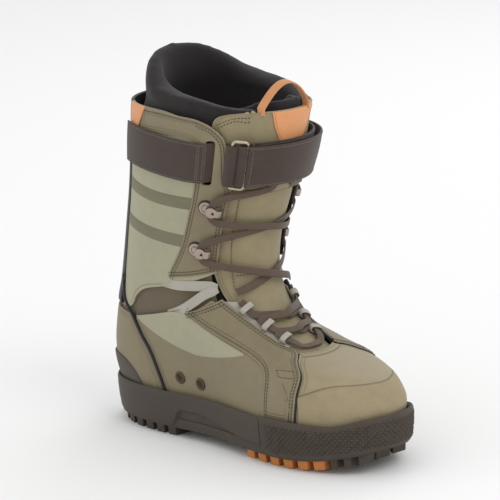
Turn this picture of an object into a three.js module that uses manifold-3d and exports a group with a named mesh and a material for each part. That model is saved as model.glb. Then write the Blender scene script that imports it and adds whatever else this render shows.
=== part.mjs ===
// A left lace-up snowboard boot: cupsole, leather shell, cuff that leans at the ankle, tongue, liner,
// laces on webbing loops and hooks, and a power strap threaded through a metal ring.
// Millimetres. +X points to the toe, +Y to the lateral side, +Z up, the ground is z = 0.
//
// Every shell piece lies on one "last" surface. A place on it is (u, a): u runs from the feather
// line, 0, to the top of the cuff, 1; a runs round the boot from the front, 0, to the back, 1 on the
// lateral side and -1 on the medial side. A third number lifts a point off that surface.
import * as THREE from 'three';
import { mergeVertices } from 'three/addons/utils/BufferGeometryUtils.js';
import Module from 'manifold-3d';

const wasm = await Module();
wasm.setup();

// ---- driving dimensions -------------------------------------------------------------------
const HEEL_TO_ORIGIN = 148.3;    // from the heel of the last to the middle of the boot
const SIDE_TO_ORIGIN = 1.1;      // the lateral side reaches this much further out
const TOE_IN = 14;               // inward swing of the toe
const SPRING_START = 215;        // where the sole starts to lift towards the toe
const SPRING_RISE = 13;          // lift at the tip of the sole
const SOLE_LENGTH = 305;
const GAP = 0.35;                // clearance between neighbouring pieces
const SKIN = 2.0;                // thickness of the leather shell, measured inwards
const OVERLAY = [1.0, 2.7];      // overlays sewn on the shell: from, to
const UNDERLAY = [-5.4, -3.5];
const LINER = [-13, -6.6];
const STRAP_THICK = 1.8;
const STRAP_U = [0.838, 0.932];  // lower and upper edge of the power strap on the last
const LACE_WIDTH = 6;
const LACE_THICK = 1.4;
const LACE_LIFTS = [0.9, 5.2];  // a crossing's lower and upper lace
const LOWER_STEPS = 76;
const LOOP_HOLE = 4.6;           // inner height of a webbing lace loop
const HOOK_PLATE = 1.2;

// The last: front and back meridian points of each level, half widths and section shape.
const LAST = [
  // u,   front x, z, back x, z, medial heel, ball, lateral heel, ball, front, back exponent, pinch m, l
  [0.00, 300, 42, -1, 36, 42, 56, 42, 58, 2.9, 4.0, 6, 3],
  [0.07, 301, 57, -6, 52, 43, 56, 43, 58, 2.8, 3.9, 5, 2],
  [0.16, 285, 73, -7, 68, 43, 54, 43, 56, 2.7, 3.7, 3, 1],
  [0.27, 245, 80, -4, 86, 42, 51, 42, 53, 2.6, 3.5, 1, 0],
  [0.38, 206, 88, 1, 104, 43, 48, 43, 50, 2.5, 3.2, 0, 0],
  [0.48, 178, 106, 8, 122, 44, 46, 44, 48, 2.4, 2.9, 0, 0],
  [0.58, 164, 134, 14, 144, 46, 46, 46, 47, 2.4, 2.6, 0, 0],
  [0.68, 165, 166, 21, 172, 49, 49, 49, 49, 2.4, 2.5, 0, 0],
  [0.79, 178, 204, 29, 206, 54, 53, 54, 53, 2.3, 2.4, 0, 0],
  [0.90, 192, 243, 36, 245, 59, 58, 59, 58, 2.3, 2.4, 0, 0],
  [1.00, 201, 277, 40, 280, 61, 60, 61, 60, 2.3, 2.4, 0, 0],
];
const RISE_PER_U = 100;          // below u = 0 and above u = 1 the last goes straight on, mm per unit

const COLORS = {
  olive: 0x7d735a, sage: 0xa09e82, band: 0x706b55, darkOlive: 0x5f5844, black: 0x1c1a1a,
  rubber: 0x3e362e, heelRubber: 0x46423c, orange: 0xe1965f, tread: 0xbe7332, foam: 0xcfc8ba,
  board: 0x8d8878, steel: 0xa5968c, ring: 0xafa58c, strap: 0x463c36, lace: 0x5c4e42,
  liner: 0x262224, webbing: 0xafaaa0, plastic: 0x2b2b2b, gel: 0xd88a3a,
};

// ---- the last surface ----------------------------------------------------------------------
const clamp01 = (t) => Math.min(1, Math.max(0, t));
const smooth = (x, a, b) => {
  const t = clamp01((x - a) / (b - a));
  return t * t * (3 - 2 * t);
};
const lerp = (a, b, t) => a + (b - a) * t;

function tangent(row, column) {
  const before = LAST[Math.max(0, row - 1)];
  const after = LAST[Math.min(LAST.length - 1, row + 1)];
  return (after[column] - before[column]) / (after[0] - before[0]);
}

function station(u) {
  let row = 0;
  while (row < LAST.length - 2 && u > LAST[row + 1][0]) row += 1;
  const low = LAST[row];
  const high = LAST[row + 1];
  const span = high[0] - low[0];
  const t = (u - low[0]) / span;
  const values = [];
  for (let column = 1; column < low.length; column += 1) {
    const rise = (t ** 3 - 2 * t * t + t) * span * tangent(row, column);
    const fall = (t ** 3 - t * t) * span * tangent(row + 1, column);
    const blend = 2 * t ** 3 - 3 * t * t;
    values.push((blend + 1) * low[column] + rise - blend * high[column] + fall);
  }
  return values;
}

function wrap(a) {
  if (a > 1) return a - 2;
  if (a < -1) return a + 2;
  return a;
}

function bare(u, around) {
  const a = wrap(around);
  const inside = clamp01(u);
  const [fx, fz, bx, bz, mh, mb, lh, lb, front, back, pinchM, pinchL] = station(inside);
  const side = a < 0 ? -1 : 1;
  const t = (1 + Math.cos(Math.PI * Math.abs(a))) / 2;
  const k = smooth(t, 0.15, 0.75);
  const [heel, ball, pinch] = side < 0 ? [mh, mb, pinchM] : [lh, lb, pinchL];
  const half = heel * (1 - k) + ball * k - pinch * Math.exp(-(((t - 0.42) / 0.16) ** 2));
  const power = t > 0.5 ? front : back;
  const x = lerp(bx, fx, t);
  const z = lerp(bz, fz, t);
  const y = side * half * Math.sqrt(Math.max(0, 1 - Math.abs(2 * t - 1) ** power));
  const swing = TOE_IN * smooth(x, 150, 300) * (1 - smooth(z, 60, 190));
  return new THREE.Vector3(x, y - swing, z + (u - inside) * RISE_PER_U);
}

function normal(u, a) {
  const step = 0.006;
  const along = bare(u + step, a).sub(bare(u - step, a));
  const around = bare(u, a + step).sub(bare(u, a - step));
  return around.cross(along).normalize();
}

const skin = (u, a, lift = 0) => bare(u, a).addScaledVector(normal(u, a), lift);

// ---- solids ----------------------------------------------------------------------------------
const boot = new THREE.Group();
boot.position.set(-HEEL_TO_ORIGIN, -SIDE_TO_ORIGIN, 0);

function addNode(name, geometry, color, { roughness = 0.8, metalness = 0 } = {}) {
  const material = new THREE.MeshStandardMaterial({ color, roughness, metalness });
  const mesh = new THREE.Mesh(geometry, material);
  mesh.name = name;
  boot.add(mesh);
  return mesh;
}

function signedVolume(points, index) {
  let volume = 0;
  for (let i = 0; i < index.length; i += 3) {
    const [a, b, c] = [points[index[i]], points[index[i + 1]], points[index[i + 2]]];
    volume += a.dot(b.clone().cross(c)) / 6;
  }
  return volume;
}

// A closed solid between two grids of points, rows by columns; a looped grid joins its last column
// to its first, and has walls only at its first and last row.
function wallSolid(outer, inner, looped = false) {
  const rows = outer.length;
  const cols = outer[0].length;
  const points = [...outer.flat(), ...inner.flat()];
  const offset = rows * cols;
  const index = [];
  const quad = (a, b, c, d) => index.push(a, b, c, a, c, d);
  const spans = looped ? cols : cols - 1;
  for (let r = 0; r < rows - 1; r += 1) {
    for (let c = 0; c < spans; c += 1) {
      const next = (c + 1) % cols;
      const [p, q, s, t] = [r * cols + c, r * cols + next, (r + 1) * cols + next, (r + 1) * cols + c];
      quad(p, q, s, t);
      quad(offset + p, offset + t, offset + s, offset + q);
    }
  }
  for (let c = 0; c < spans; c += 1) {
    const next = (c + 1) % cols;
    const last = (rows - 1) * cols;
    quad(c, offset + c, offset + next, next);
    quad(last + next, offset + last + next, offset + last + c, last + c);
  }
  for (let r = 0; !looped && r < rows - 1; r += 1) {
    const [low, high] = [r * cols, (r + 1) * cols];
    quad(high, offset + high, offset + low, low);
    const end = cols - 1;
    quad(low + end, offset + low + end, offset + high + end, high + end);
  }
  if (signedVolume(points, index) < 0) index.reverse();
  const geometry = new THREE.BufferGeometry().setFromPoints(points);
  geometry.setIndex(index);
  return geometry;
}

// A place along a chain of [u, a] points, where t counts its points.
function along(chain, t) {
  const i = Math.min(chain.length - 2, Math.floor(t));
  const f = t - i;
  return [lerp(chain[i][0], chain[i + 1][0], f), lerp(chain[i][1], chain[i + 1][1], f)];
}

// A panel ruled between two chains of the same number of points. lifts are the inner and outer
// faces, or functions of the two shares (along the chains, across them).
function panel(first, second, [low, high], { fine = 2, cols = 4, side = 1 } = {}) {
  const steps = (first.length - 1) * fine;
  const grid = (lift) => Array.from({ length: steps + 1 }, (_, r) => (
    Array.from({ length: cols + 1 }, (__, c) => {
      const [u0, a0] = along(first, r / fine);
      const [u1, a1] = along(second, r / fine);
      const q = c / cols;
      const height = typeof lift === 'function' ? lift(r / steps, q) : lift;
      return skin(lerp(u0, u1, q), side * lerp(a0, a1, q), height);
    })));
  return wallSolid(grid(high), grid(low));
}

const SIDES = [['medial', -1], ['lateral', 1]];
const bothSides = (build) => SIDES.forEach(([name, side]) => build(name, side));

function toManifold(geometry) {
  const plain = geometry.clone();
  plain.deleteAttribute('normal');
  plain.deleteAttribute('uv');
  const merged = mergeVertices(plain, 1e-4);
  return new wasm.Manifold(new wasm.Mesh({
    numProp: 3,
    vertProperties: new Float32Array(merged.attributes.position.array),
    triVerts: new Uint32Array(merged.index.array),
  }));
}

function fromManifold(solid) {
  const mesh = solid.getMesh();
  const geometry = new THREE.BufferGeometry();
  geometry.setAttribute('position', new THREE.BufferAttribute(mesh.vertProperties, 3));
  geometry.setIndex(new THREE.BufferAttribute(mesh.triVerts, 1));
  return geometry;
}

function block([x0, y0, z0], [x1, y1, z1], slope = 0) {
  const box = new THREE.BoxGeometry(x1 - x0, y1 - y0, z1 - z0);
  box.rotateY(-slope);
  box.translate((x0 + x1) / 2, (y0 + y1) / 2, (z0 + z1) / 2);
  return box;
}

// ---- sole ------------------------------------------------------------------------------------
const spring = (x) => SPRING_RISE * Math.max(0, (x - SPRING_START) / (SOLE_LENGTH - SPRING_START)) ** 1.8;

// A point on the sole's outline: a runs round it, grow pushes it outwards from the upper.
function outline(a, grow, z) {
  const flat = bare(0, a);
  const step = 0.004;
  const run = bare(0, a + step).sub(bare(0, a - step));
  const out = new THREE.Vector3(-run.y, run.x, 0).normalize().negate();
  return new THREE.Vector3(flat.x + out.x * grow, flat.y + out.y * grow, z(flat.x));
}

// A slab that fills the sole's outline between two heights, from share s0 (toe) to s1 (heel).
function slab(grow, low, high, { s0 = 0.02, s1 = 0.98, rows = 22, cols = 3, width = 1 } = {}) {
  const grid = (z) => Array.from({ length: rows + 1 }, (_, r) => {
    const s = lerp(s0, s1, r / rows);
    const m = outline(-s, grow, z);
    const l = outline(s, grow, z);
    const mid = m.clone().add(l).multiplyScalar(0.5);
    return Array.from({ length: cols + 1 }, (__, c) => {
      const p = m.clone().lerp(l, c / cols);
      p.y = lerp(mid.y, p.y, width);
      p.z = z(p.x);
      return p;
    });
  });
  return wallSolid(grid(high), grid(low));
}

// A wall that stands round the outline from a0 to a1.
function sidewall(a0, a1, [inner, outer], low, high, steps = 24) {
  const heights = [low, (x) => (low(x) + high(x)) / 2, high];
  const swell = [-1.2, 0, -0.4];
  const face = (grow, shape) => heights.map((z, i) => (
    Array.from({ length: steps + 1 }, (_, c) => {
      const a = lerp(a0, a1, c / steps);
      return outline(a, grow + shape[i] + (i === 2 ? UPPER_FLARE : 0), z);
    })));
  return wallSolid(face(outer, swell), face(inner, [0, 0, 0]));
}

const UPPER_FLARE = 1.3;        // the shell swells this much above the feather line
const TREAD_DEPTH = 8;
const CORE_TOP = (x) => 24 + spring(x) * 0.9;
const RUBBER_TOP = (x) => 39 + spring(x) * 0.4;
const BUMPER_TOP = (x) => 41 + 8 * smooth(x, 262, 302);
const BUMPER_START = 0.388;

function buildSole() {
  const bottom = (x) => TREAD_DEPTH + GAP + spring(x);
  const core = toManifold(slab(-0.6, bottom, CORE_TOP));
  const rear = sidewall(BUMPER_START + 0.006, 2 - BUMPER_START - 0.006, [0.4, 4.6],
    (x) => bottom(x) + 1, RUBBER_TOP, 30);
  const skirt = sidewall(BUMPER_START + 0.006, 2 - BUMPER_START - 0.006, [-3, 2],
    (x) => bottom(x) + 2, (x) => CORE_TOP(x) - 2, 30);
  addNode('outsole', fromManifold(core.add(toManifold(skirt)).add(toManifold(rear))), COLORS.rubber);

  const bumper = sidewall(-BUMPER_START, BUMPER_START, [0.5, 5.4],
    (x) => 11 + spring(x), BUMPER_TOP, 30);
  addNode('toe_bumper', bumper, COLORS.rubber);

  const grooves = (from, to, pitch) => {
    const list = [];
    for (let x = from; x < to; x += pitch) {
      const lift = spring(x);
      const slope = Math.atan2(spring(x + 2) - spring(x - 2), 4);
      list.push(toManifold(block([x - 2.2, -90, lift - 6], [x + 2.2, 90, lift + 4.5], slope)));
    }
    return list;
  };
  const tread = slab(-5, spring, (x) => TREAD_DEPTH + spring(x), { rows: 30 });
  const cutTread = (from, to, pitch) => {
    let piece = toManifold(tread).intersect(toManifold(block([from, -90, -5], [to, 90, 40])));
    grooves(from + pitch, to - 3, pitch).forEach((groove) => { piece = piece.subtract(groove); });
    return fromManifold(piece);
  };
  addNode('heel_tread', cutTread(-10, 92, 14), COLORS.rubber);
  addNode('forefoot_tread', cutTread(176, 293, 15), COLORS.tread);

  const inside = -SKIN - 0.8;
  const stack = (z) => (x) => z + spring(x) * 0.9;
  addNode('shank', slab(inside, stack(24.4), stack(26), { s0: 0.42, s1: 0.78, rows: 8, width: 0.4 }),
    COLORS.plastic);
  const puckCentre = [42, 0];
  const puck = new THREE.CylinderGeometry(22, 22, 5, 32).rotateX(Math.PI / 2);
  const puckHole = new THREE.CylinderGeometry(22.4, 22.4, 12, 32).rotateX(Math.PI / 2);
  puck.translate(...puckCentre, 28.9);
  puckHole.translate(...puckCentre, 28.9);
  const foam = slab(inside, stack(26.4), stack(31), { rows: 16, cols: 2 });
  addNode('midsole', fromManifold(toManifold(foam).subtract(toManifold(puckHole))), COLORS.foam);
  addNode('heel_cushion', puck, COLORS.gel);
  addNode('lasting_board', slab(inside, stack(31.8), stack(33.8), { rows: 16, cols: 2 }), COLORS.board);
}

// ---- lower shell -------------------------------------------------------------------------------
// Chains of [u, a] on one side; bothSides mirrors them.
const FEATHER = -0.06;           // the upper runs this far down inside the cup of the sole
const VAMP_EDGE = [[FEATHER, 0.312], [0.0, 0.312], [0.08, 0.31], [0.18, 0.25], [0.28, 0.18], [0.335, 0.115]];
const QUARTER_LOW = [[FEATHER, 0.652], [FEATHER, 0.55], [FEATHER, 0.43], [FEATHER, 0.32],
  [0.08, 0.319], [0.28, 0.192], [0.318, 0.158]];
const QUARTER_TOP = [[0.345, 0.695], [0.43, 0.53], [0.462, 0.44], [0.528, 0.315],
  [0.49, 0.258], [0.405, 0.186], [0.348, 0.155]];
const HEEL_SEAM = [[FEATHER, 0.66], [0.01, 0.66], [0.16, 0.675], [0.355, 0.705]];
const EYESTAY_IN = [[0.535, 0.27], [0.495, 0.22], [0.445, 0.176], [0.39, 0.146], [0.345, 0.122],
  [0.285, 0.186], [0.16, 0.265], [0.08, 0.312], [0.022, 0.315]];
const EYESTAY_OUT = [[0.465, 0.445], [0.43, 0.405], [0.385, 0.362], [0.325, 0.337], [0.28, 0.33],
  [0.23, 0.333], [0.15, 0.365], [0.08, 0.385], [0.022, 0.39]];
const SAGE_TOP = [[0.352, 0.69], [0.40, 0.60], [0.44, 0.52], [0.455, 0.455]];
const SAGE_LOW = [[0.325, 0.68], [0.255, 0.605], [0.195, 0.55], [0.22, 0.49]];

function buildLowerShell() {
  const mirrored = VAMP_EDGE.map(([u, a]) => [u, -a]);
  addNode('vamp', panel(mirrored, VAMP_EDGE, [-SKIN, 0], { cols: 14, fine: 2 }), COLORS.olive);
  const puffEdge = [[0.05, 0.25], [0.09, 0.24], [0.14, 0.19], [0.2, 0.12]];
  addNode('toe_puff', panel(puffEdge.map(([u, a]) => [u, -a]), puffEdge, UNDERLAY, { cols: 10 }),
    COLORS.plastic);

  const seamBack = HEEL_SEAM.map(([u, a]) => [u, a + 0.006]);
  const seamRound = seamBack.map(([u, a]) => [u, 2 - a]);
  addNode('heel_counter', panel(seamBack, seamRound, [-SKIN, 0], { cols: 18 }), COLORS.olive);
  const stiff = [[0.05, 0.63], [0.12, 0.64], [0.24, 0.67], [0.29, 0.72]];
  addNode('heel_stiffener', panel(stiff, stiff.map(([u, a]) => [u, 2 - a]), UNDERLAY, { cols: 14 }),
    COLORS.plastic);
  const cap = [[0.045, 0.745], [0.075, 0.755], [0.1, 0.775]];
  addNode('heel_rubber_cap', panel(cap, cap.map(([u, a]) => [u, 2 - a]), [GAP, 2.8], { cols: 12 }),
    COLORS.heelRubber);

  bothSides((name, side) => {
    addNode(`quarter_${name}`, panel(QUARTER_LOW, QUARTER_TOP, [-SKIN, 0], { cols: 8, side }),
      COLORS.olive);
    addNode(`lower_eyestay_${name}`, panel(EYESTAY_IN, EYESTAY_OUT, OVERLAY, { cols: 3, side }),
      COLORS.olive);
    addNode(`ankle_panel_${name}`, panel(SAGE_TOP, SAGE_LOW, [0.8, 1.8], { cols: 3, side }),
      COLORS.sage);
    const seam = [[0.046, 0.66], [0.16, 0.675], [0.25, 0.69], [0.35, 0.706]];
    const pipe = (shift) => seam.map(([u, a]) => [u, a + shift]);
    addNode(`heel_piping_${name}`, panel(pipe(-0.003), pipe(0.008), [0.6, 1.9], { cols: 1, side }),
      COLORS.black);
  });

  const ringProfile = [[2.6, 0], [4.9, 0], [5.2, 0.7], [4.6, 1.3], [3.1, 1.3], [2.6, 0.8], [2.6, 0]];
  [['vent_rear', 0.062, -0.610], ['vent_front', 0.052, -0.560]].forEach(([name, u, a]) => {
    const vent = new THREE.LatheGeometry(ringProfile.map(([r, h]) => new THREE.Vector2(r, h)), 12);
    const mesh = addNode(name, vent, COLORS.plastic, { metalness: 0.4 });
    mesh.position.copy(skin(u, a, 0.7));
    mesh.quaternion.setFromUnitVectors(new THREE.Vector3(0, 1, 0), normal(u, a));
  });
}

// ---- lace loops ------------------------------------------------------------------------------
const LOOPS = [[0.405, 0.104], [0.455, 0.133], [0.512, 0.181]];
const LOOP_LENGTH = 4.5;           // along the throat
const LOOP_REACH = 11.5;           // across it

// The frame at a place on the last: x across towards the middle, y along the throat, z outwards.
function frameAt(u, a, lift, heading) {
  const out = normal(u, a);
  const up = skin(u + heading[0], a + heading[1]).sub(skin(u, a)).projectOnPlane(out).normalize();
  const across = up.clone().cross(out);
  const matrix = new THREE.Matrix4().makeBasis(across, up, out);
  matrix.setPosition(skin(u, a, lift));
  return matrix;
}

function stadiumRing(length, height, wall) {
  const shape = (l, h) => {
    const path = new THREE.Path();
    const r = h / 2;
    path.absarc(l / 2 - r, 0, r, -Math.PI / 2, Math.PI / 2, false);
    path.absarc(-(l / 2 - r), 0, r, Math.PI / 2, 3 * Math.PI / 2, false);
    path.closePath();
    return path;
  };
  const outer = new THREE.Shape(shape(length, height).getPoints(4));
  outer.holes.push(new THREE.Path(shape(length - 2 * wall, height - 2 * wall).getPoints(4)));
  return outer;
}

// Three loops sewn to one tape, whose back edge lies under the lower eyestay.
function buildLaceLoops() {
  const tapeIn = [[0.38, 0.108], [0.44, 0.136], [0.53, 0.214]];
  const tapeOut = [[0.375, 0.166], [0.44, 0.208], [0.527, 0.292]];
  const clearance = toManifold(lace(lowerRoute(), LOWER_STEPS, GAP));
  bothSides((name, side) => {
    let tape = toManifold(panel(tapeIn, tapeOut, [-SKIN, 0], { cols: 2, side }));
    LOOPS.forEach(([u, a]) => {
      const ring = new THREE.ExtrudeGeometry(stadiumRing(LOOP_REACH, LOOP_HOLE + 1.6, 0.8),
        { depth: LOOP_LENGTH, bevelEnabled: false, steps: 1 });
      ring.translate(0, 0, -LOOP_LENGTH / 2);
      ring.rotateX(-Math.PI / 2);
      ring.applyMatrix4(frameAt(u, side * a, -0.3 + LOOP_HOLE / 2 + 0.8, [0.05, side * 0.04]));
      tape = tape.add(toManifold(ring));
    });
    addNode(`lace_loops_${name}`, fromManifold(tape.subtract(clearance)), COLORS.webbing);
  });
}

// ---- cuff --------------------------------------------------------------------------------------
const THROAT = [[0.61, 0.265], [0.66, 0.255], [0.72, 0.253], [0.785, 0.25], [0.815, 0.242],
  [0.845, 0.262], [0.93, 0.285], [0.965, 0.33], [0.985, 0.395]];
const FACING_BACK = [[0.565, 0.49], [0.62, 0.45], [0.68, 0.412], [0.77, 0.395], [0.80, 0.392],
  [0.845, 0.388], [0.935, 0.392], [0.965, 0.42], [0.988, 0.47]];
const SHAFT_FRONT = [[0.608, 0.27], [0.66, 0.26], [0.72, 0.258], [0.785, 0.255], [0.826, 0.25],
  [0.832, 0.362], [0.938, 0.362], [0.965, 0.375], [0.985, 0.40]];
const SHAFT_BACK = [[0.50, 0.64], [0.55, 0.74], [0.62, 0.748], [0.72, 0.75], [0.78, 0.75],
  [0.83, 0.75], [0.94, 0.75], [0.97, 0.75], [0.998, 0.75]];
const BACK_STAY = [[0.435, 0.84], [0.5, 0.80], [0.56, 0.765], [0.7, 0.757], [0.85, 0.757], [0.998, 0.757]];
const COLLAR_LOW = [[0.945, 0.40], [0.945, 0.50], [0.945, 0.62]];
const COLLAR_TOP = [[0.996, 0.485], [0.999, 0.55], [0.999, 0.63]];

function buildCuff() {
  const slotEdge = [[STRAP_U[0] - 0.01, 0.318], [STRAP_U[1] + 0.01, 0.318]];
  const slotFar = [[STRAP_U[0] - 0.01, 0.36], [STRAP_U[1] + 0.01, 0.36]];
  bothSides((name, side) => {
    addNode(`shaft_panel_${name}`, panel(SHAFT_FRONT, SHAFT_BACK, [-SKIN, 0], { cols: 9, fine: 1, side }),
      COLORS.sage);
    let facing = toManifold(panel(THROAT, FACING_BACK, OVERLAY, { cols: 3, side }));
    if (side < 0) facing = facing.subtract(toManifold(panel(slotEdge, slotFar, [-3, 8], { side })));
    facing = facing.add(toManifold(panel(COLLAR_LOW, COLLAR_TOP, OVERLAY, { cols: 3, side })));
    addNode(`upper_eyestay_${name}`, fromManifold(facing), COLORS.olive);
    addNode(`collar_tab_${name}`, panel([[0.945, 0.628], [0.945, 0.735]], [[0.999, 0.638], [0.999, 0.735]],
      OVERLAY, { cols: 3, side }), COLORS.orange);
    const band = (low, high) => panel(
      [[low, 0.745], [low - 0.02, 0.55], [low - 0.025, 0.425]],
      [[high, 0.745], [high - 0.02, 0.55], [high - 0.025, 0.425]], [0.8, 1.9], { cols: 1, fine: 4, side });
    addNode(`shaft_band_upper_${name}`, band(0.79, 0.825), COLORS.band);
    addNode(`shaft_band_lower_${name}`, band(0.69, 0.728), COLORS.band);
  });
  const round = BACK_STAY.map(([u, a]) => [u, 2 - a]);
  addNode('back_stay', panel(BACK_STAY, round, [-SKIN, 0.6], { cols: 8 }), COLORS.black);
}

// ---- ankle: what bends when the cuff leans -------------------------------------------------------
function buildAnkle() {
  const low = [[0.505, 0.30], [0.445, 0.44], [0.41, 0.55], [0.34, 0.70], [0.325, 0.85], [0.325, 1]];
  const top = [[0.63, 0.30], [0.60, 0.45], [0.59, 0.55], [0.56, 0.70], [0.50, 0.85], [0.50, 1]];
  const mirrorBack = (chain) => [...chain, ...chain.slice(0, -1).reverse().map(([u, a]) => [u, 2 - a])];
  const cloth = panel(mirrorBack(low), mirrorBack(top), UNDERLAY, { cols: 3, fine: 3 });
  addNode('ankle_gusset', cloth, COLORS.darkOlive);
  bothSides((name, side) => {
    const lowEdge = [[0.520, 0.49], [0.535, 0.40], [0.548, 0.30]];
    const topEdge = [[0.533, 0.495], [0.550, 0.43], [0.592, 0.285]];
    addNode(`ankle_webbing_${name}`, panel(lowEdge, topEdge, [-SKIN, -0.2], { cols: 2, side }),
      COLORS.webbing);
  });
}

const LOOP_FOOT_U = 1.036;         // the pull loop starts this high, clear of the tongue's top

// ---- tongue ------------------------------------------------------------------------------------
function buildTongue() {
  const low = [[0.36, -0.10], [0.41, -0.17], [0.46, -0.21], [0.52, -0.25], [0.60, -0.285]];
  addNode('tongue_gusset', panel(low, low.map(([u, a]) => [u, -a]), UNDERLAY, { cols: 10 }), COLORS.olive);
  const edge = [[0.607, -0.285], [0.72, -0.30], [0.83, -0.30], [0.93, -0.32], [1.0, -0.36]];
  addNode('tongue', panel(edge, edge.map(([u, a]) => [u, -a]), UNDERLAY, { cols: 10 }), COLORS.olive);
  addNode('tongue_patch', panel([[0.95, -0.108], [1.0, -0.112]], [[0.95, 0.108], [1.0, 0.112]],
    [-2.5, -0.9], { cols: 6 }), COLORS.orange);

  const feet = [-0.125, 0.05];
  const [left, right] = feet.map((a) => skin(LOOP_FOOT_U, a, -4));
  const rise = 22.6;
  const depth = normal(0.99, 0);
  const arch = (inset) => Array.from({ length: 17 }, (_, i) => {
    const t = Math.PI * (i / 16);
    const p = left.clone().lerp(right, (1 - Math.cos(t) * (1 - inset / 18)) / 2);
    p.z += Math.sin(t) ** 0.7 * (rise - inset);
    return p;
  });
  const grid = (points) => [-3.8, 3.8].map((d) => points.map((p) => p.clone().addScaledVector(depth, d)));
  addNode('tongue_pull_loop', wallSolid(grid(arch(0)), grid(arch(2))), COLORS.orange);
}

// ---- liner -------------------------------------------------------------------------------------
const LINER_FLOOR = 34.6;
const rim = (a) => 1.0 + 0.42 * smooth(Math.abs(a), 0.3, 0.85);

function buildLiner() {
  const around = 30;
  const ringAt = (u, lift) => Array.from({ length: around }, (_, i) => skin(u, -1 + (2 * i) / around, lift));
  const wallLevels = [0.03, 0.12, 0.2, 0.29, 0.385];
  const side = [wallLevels.map((u) => ringAt(u, LINER[1])), wallLevels.map((u) => ringAt(u, LINER[0]))];
  const floor = slab(-8, (x) => LINER_FLOOR + spring(x) * 0.9, (x) => 44 + spring(x) * 0.9, { rows: 18 });
  const foot = toManifold(wallSolid(side[0], side[1], true)).add(toManifold(floor));
  addNode('liner_foot', fromManifold(foot), COLORS.liner);
  addNode('footbed', slab(-16, (x) => 44.5 + spring(x) * 0.9, (x) => 48 + spring(x) * 0.9, { rows: 16 }),
    COLORS.foam);

  const ankleLevels = [0.395, 0.425, 0.465, 0.53, 0.6];
  addNode('liner_ankle', wallSolid(ankleLevels.map((u) => ringAt(u, LINER[1])),
    ankleLevels.map((u) => ringAt(u, LINER[0])), true), COLORS.liner);

  const split = 0.17;
  const backwards = Array.from({ length: 23 }, (_, i) => lerp(split, 2 - split, i / 22));
  const height = (a) => rim(wrap(a));
  addNode('liner_cuff', panel(backwards.map((a) => [0.606, a]), backwards.map((a) => [height(a), a]),
    LINER, { fine: 1, cols: 4 }), COLORS.liner);
  const strip = [0.606, 0.66, 0.72, 0.8, 0.9, 1.0];
  const edgeOf = (side) => strip.map((u) => [u, side * (split - 0.012)]);
  addNode('liner_tongue', panel(edgeOf(-1), edgeOf(1), LINER, { fine: 1, cols: 6 }), COLORS.liner);
}

// ---- hooks ---------------------------------------------------------------------------------------
const HOOKS = [['lower', 0.667, 0.325], ['upper', 0.775, 0.305]];

// A lace hook in side view: a flat plate riveted to the facing, whose front end folds back over it.
function hookShape() {
  const t = HOOK_PLATE;
  const gap = 4.4;
  const shape = new THREE.Shape();
  shape.moveTo(-10, 0);
  shape.lineTo(6, 0);
  shape.absarc(6, gap / 2 + t, gap / 2 + t, -Math.PI / 2, Math.PI / 2, false);
  shape.lineTo(-3, gap + 2 * t);
  shape.lineTo(-3.4, gap + t + 0.3);
  shape.lineTo(6, gap + t);
  shape.absarc(6, gap / 2 + t, gap / 2, Math.PI / 2, -Math.PI / 2, true);
  shape.lineTo(-10, t);
  return shape;
}

function buildHooks() {
  bothSides((name, side) => HOOKS.forEach(([level, u, a]) => {
    const width = 8;
    const bar = { depth: width, bevelEnabled: false, curveSegments: 6 };
    const hook = new THREE.ExtrudeGeometry(hookShape(), bar);
    hook.translate(0, 0, -width / 2);
    hook.rotateX(Math.PI / 2);
    if (side > 0) hook.rotateZ(Math.PI);
    hook.applyMatrix4(frameAt(u, side * a, OVERLAY[1] + 0.5, [0.05, 0]));
    hook.computeVertexNormals();
    addNode(`lace_hook_${level}_${name}`, hook, COLORS.steel, { roughness: 0.35, metalness: 1 });
  }));
}

// ---- power strap ----------------------------------------------------------------------------------
const RING_U = (STRAP_U[0] + STRAP_U[1]) / 2;
const RING_A = -0.232;
const RING_LIFT = 3.4;
const [RING_TALL, RING_WIDE, RING_WIRE] = [44, 15, 2.8];
const TAIL_START = -0.2022;        // where the free end of the strap bends away from the fold
const TAIL_LIFT = 8.8;

// A strap of full width through places [a, lift], STRAP_THICK thick.
function ribbonThrough(places) {
  const levels = [0, 0.5, 1].map((p) => places.map(([a, lift]) => {
    const climb = 0.022 * smooth(Math.abs(a), 0.35, 0.75);
    return skin(lerp(STRAP_U[0], STRAP_U[1], p) + climb, a, lift);
  }));
  const shifted = (distance) => levels.map((row) => row.map((point, i) => {
    const ahead = row[Math.min(row.length - 1, i + 1)].clone().sub(row[Math.max(0, i - 1)]);
    const across = levels[2][i].clone().sub(levels[0][i]);
    return point.clone().addScaledVector(ahead.cross(across).normalize(), distance);
  }));
  return wallSolid(shifted(STRAP_THICK / 2), shifted(-STRAP_THICK / 2));
}

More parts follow.
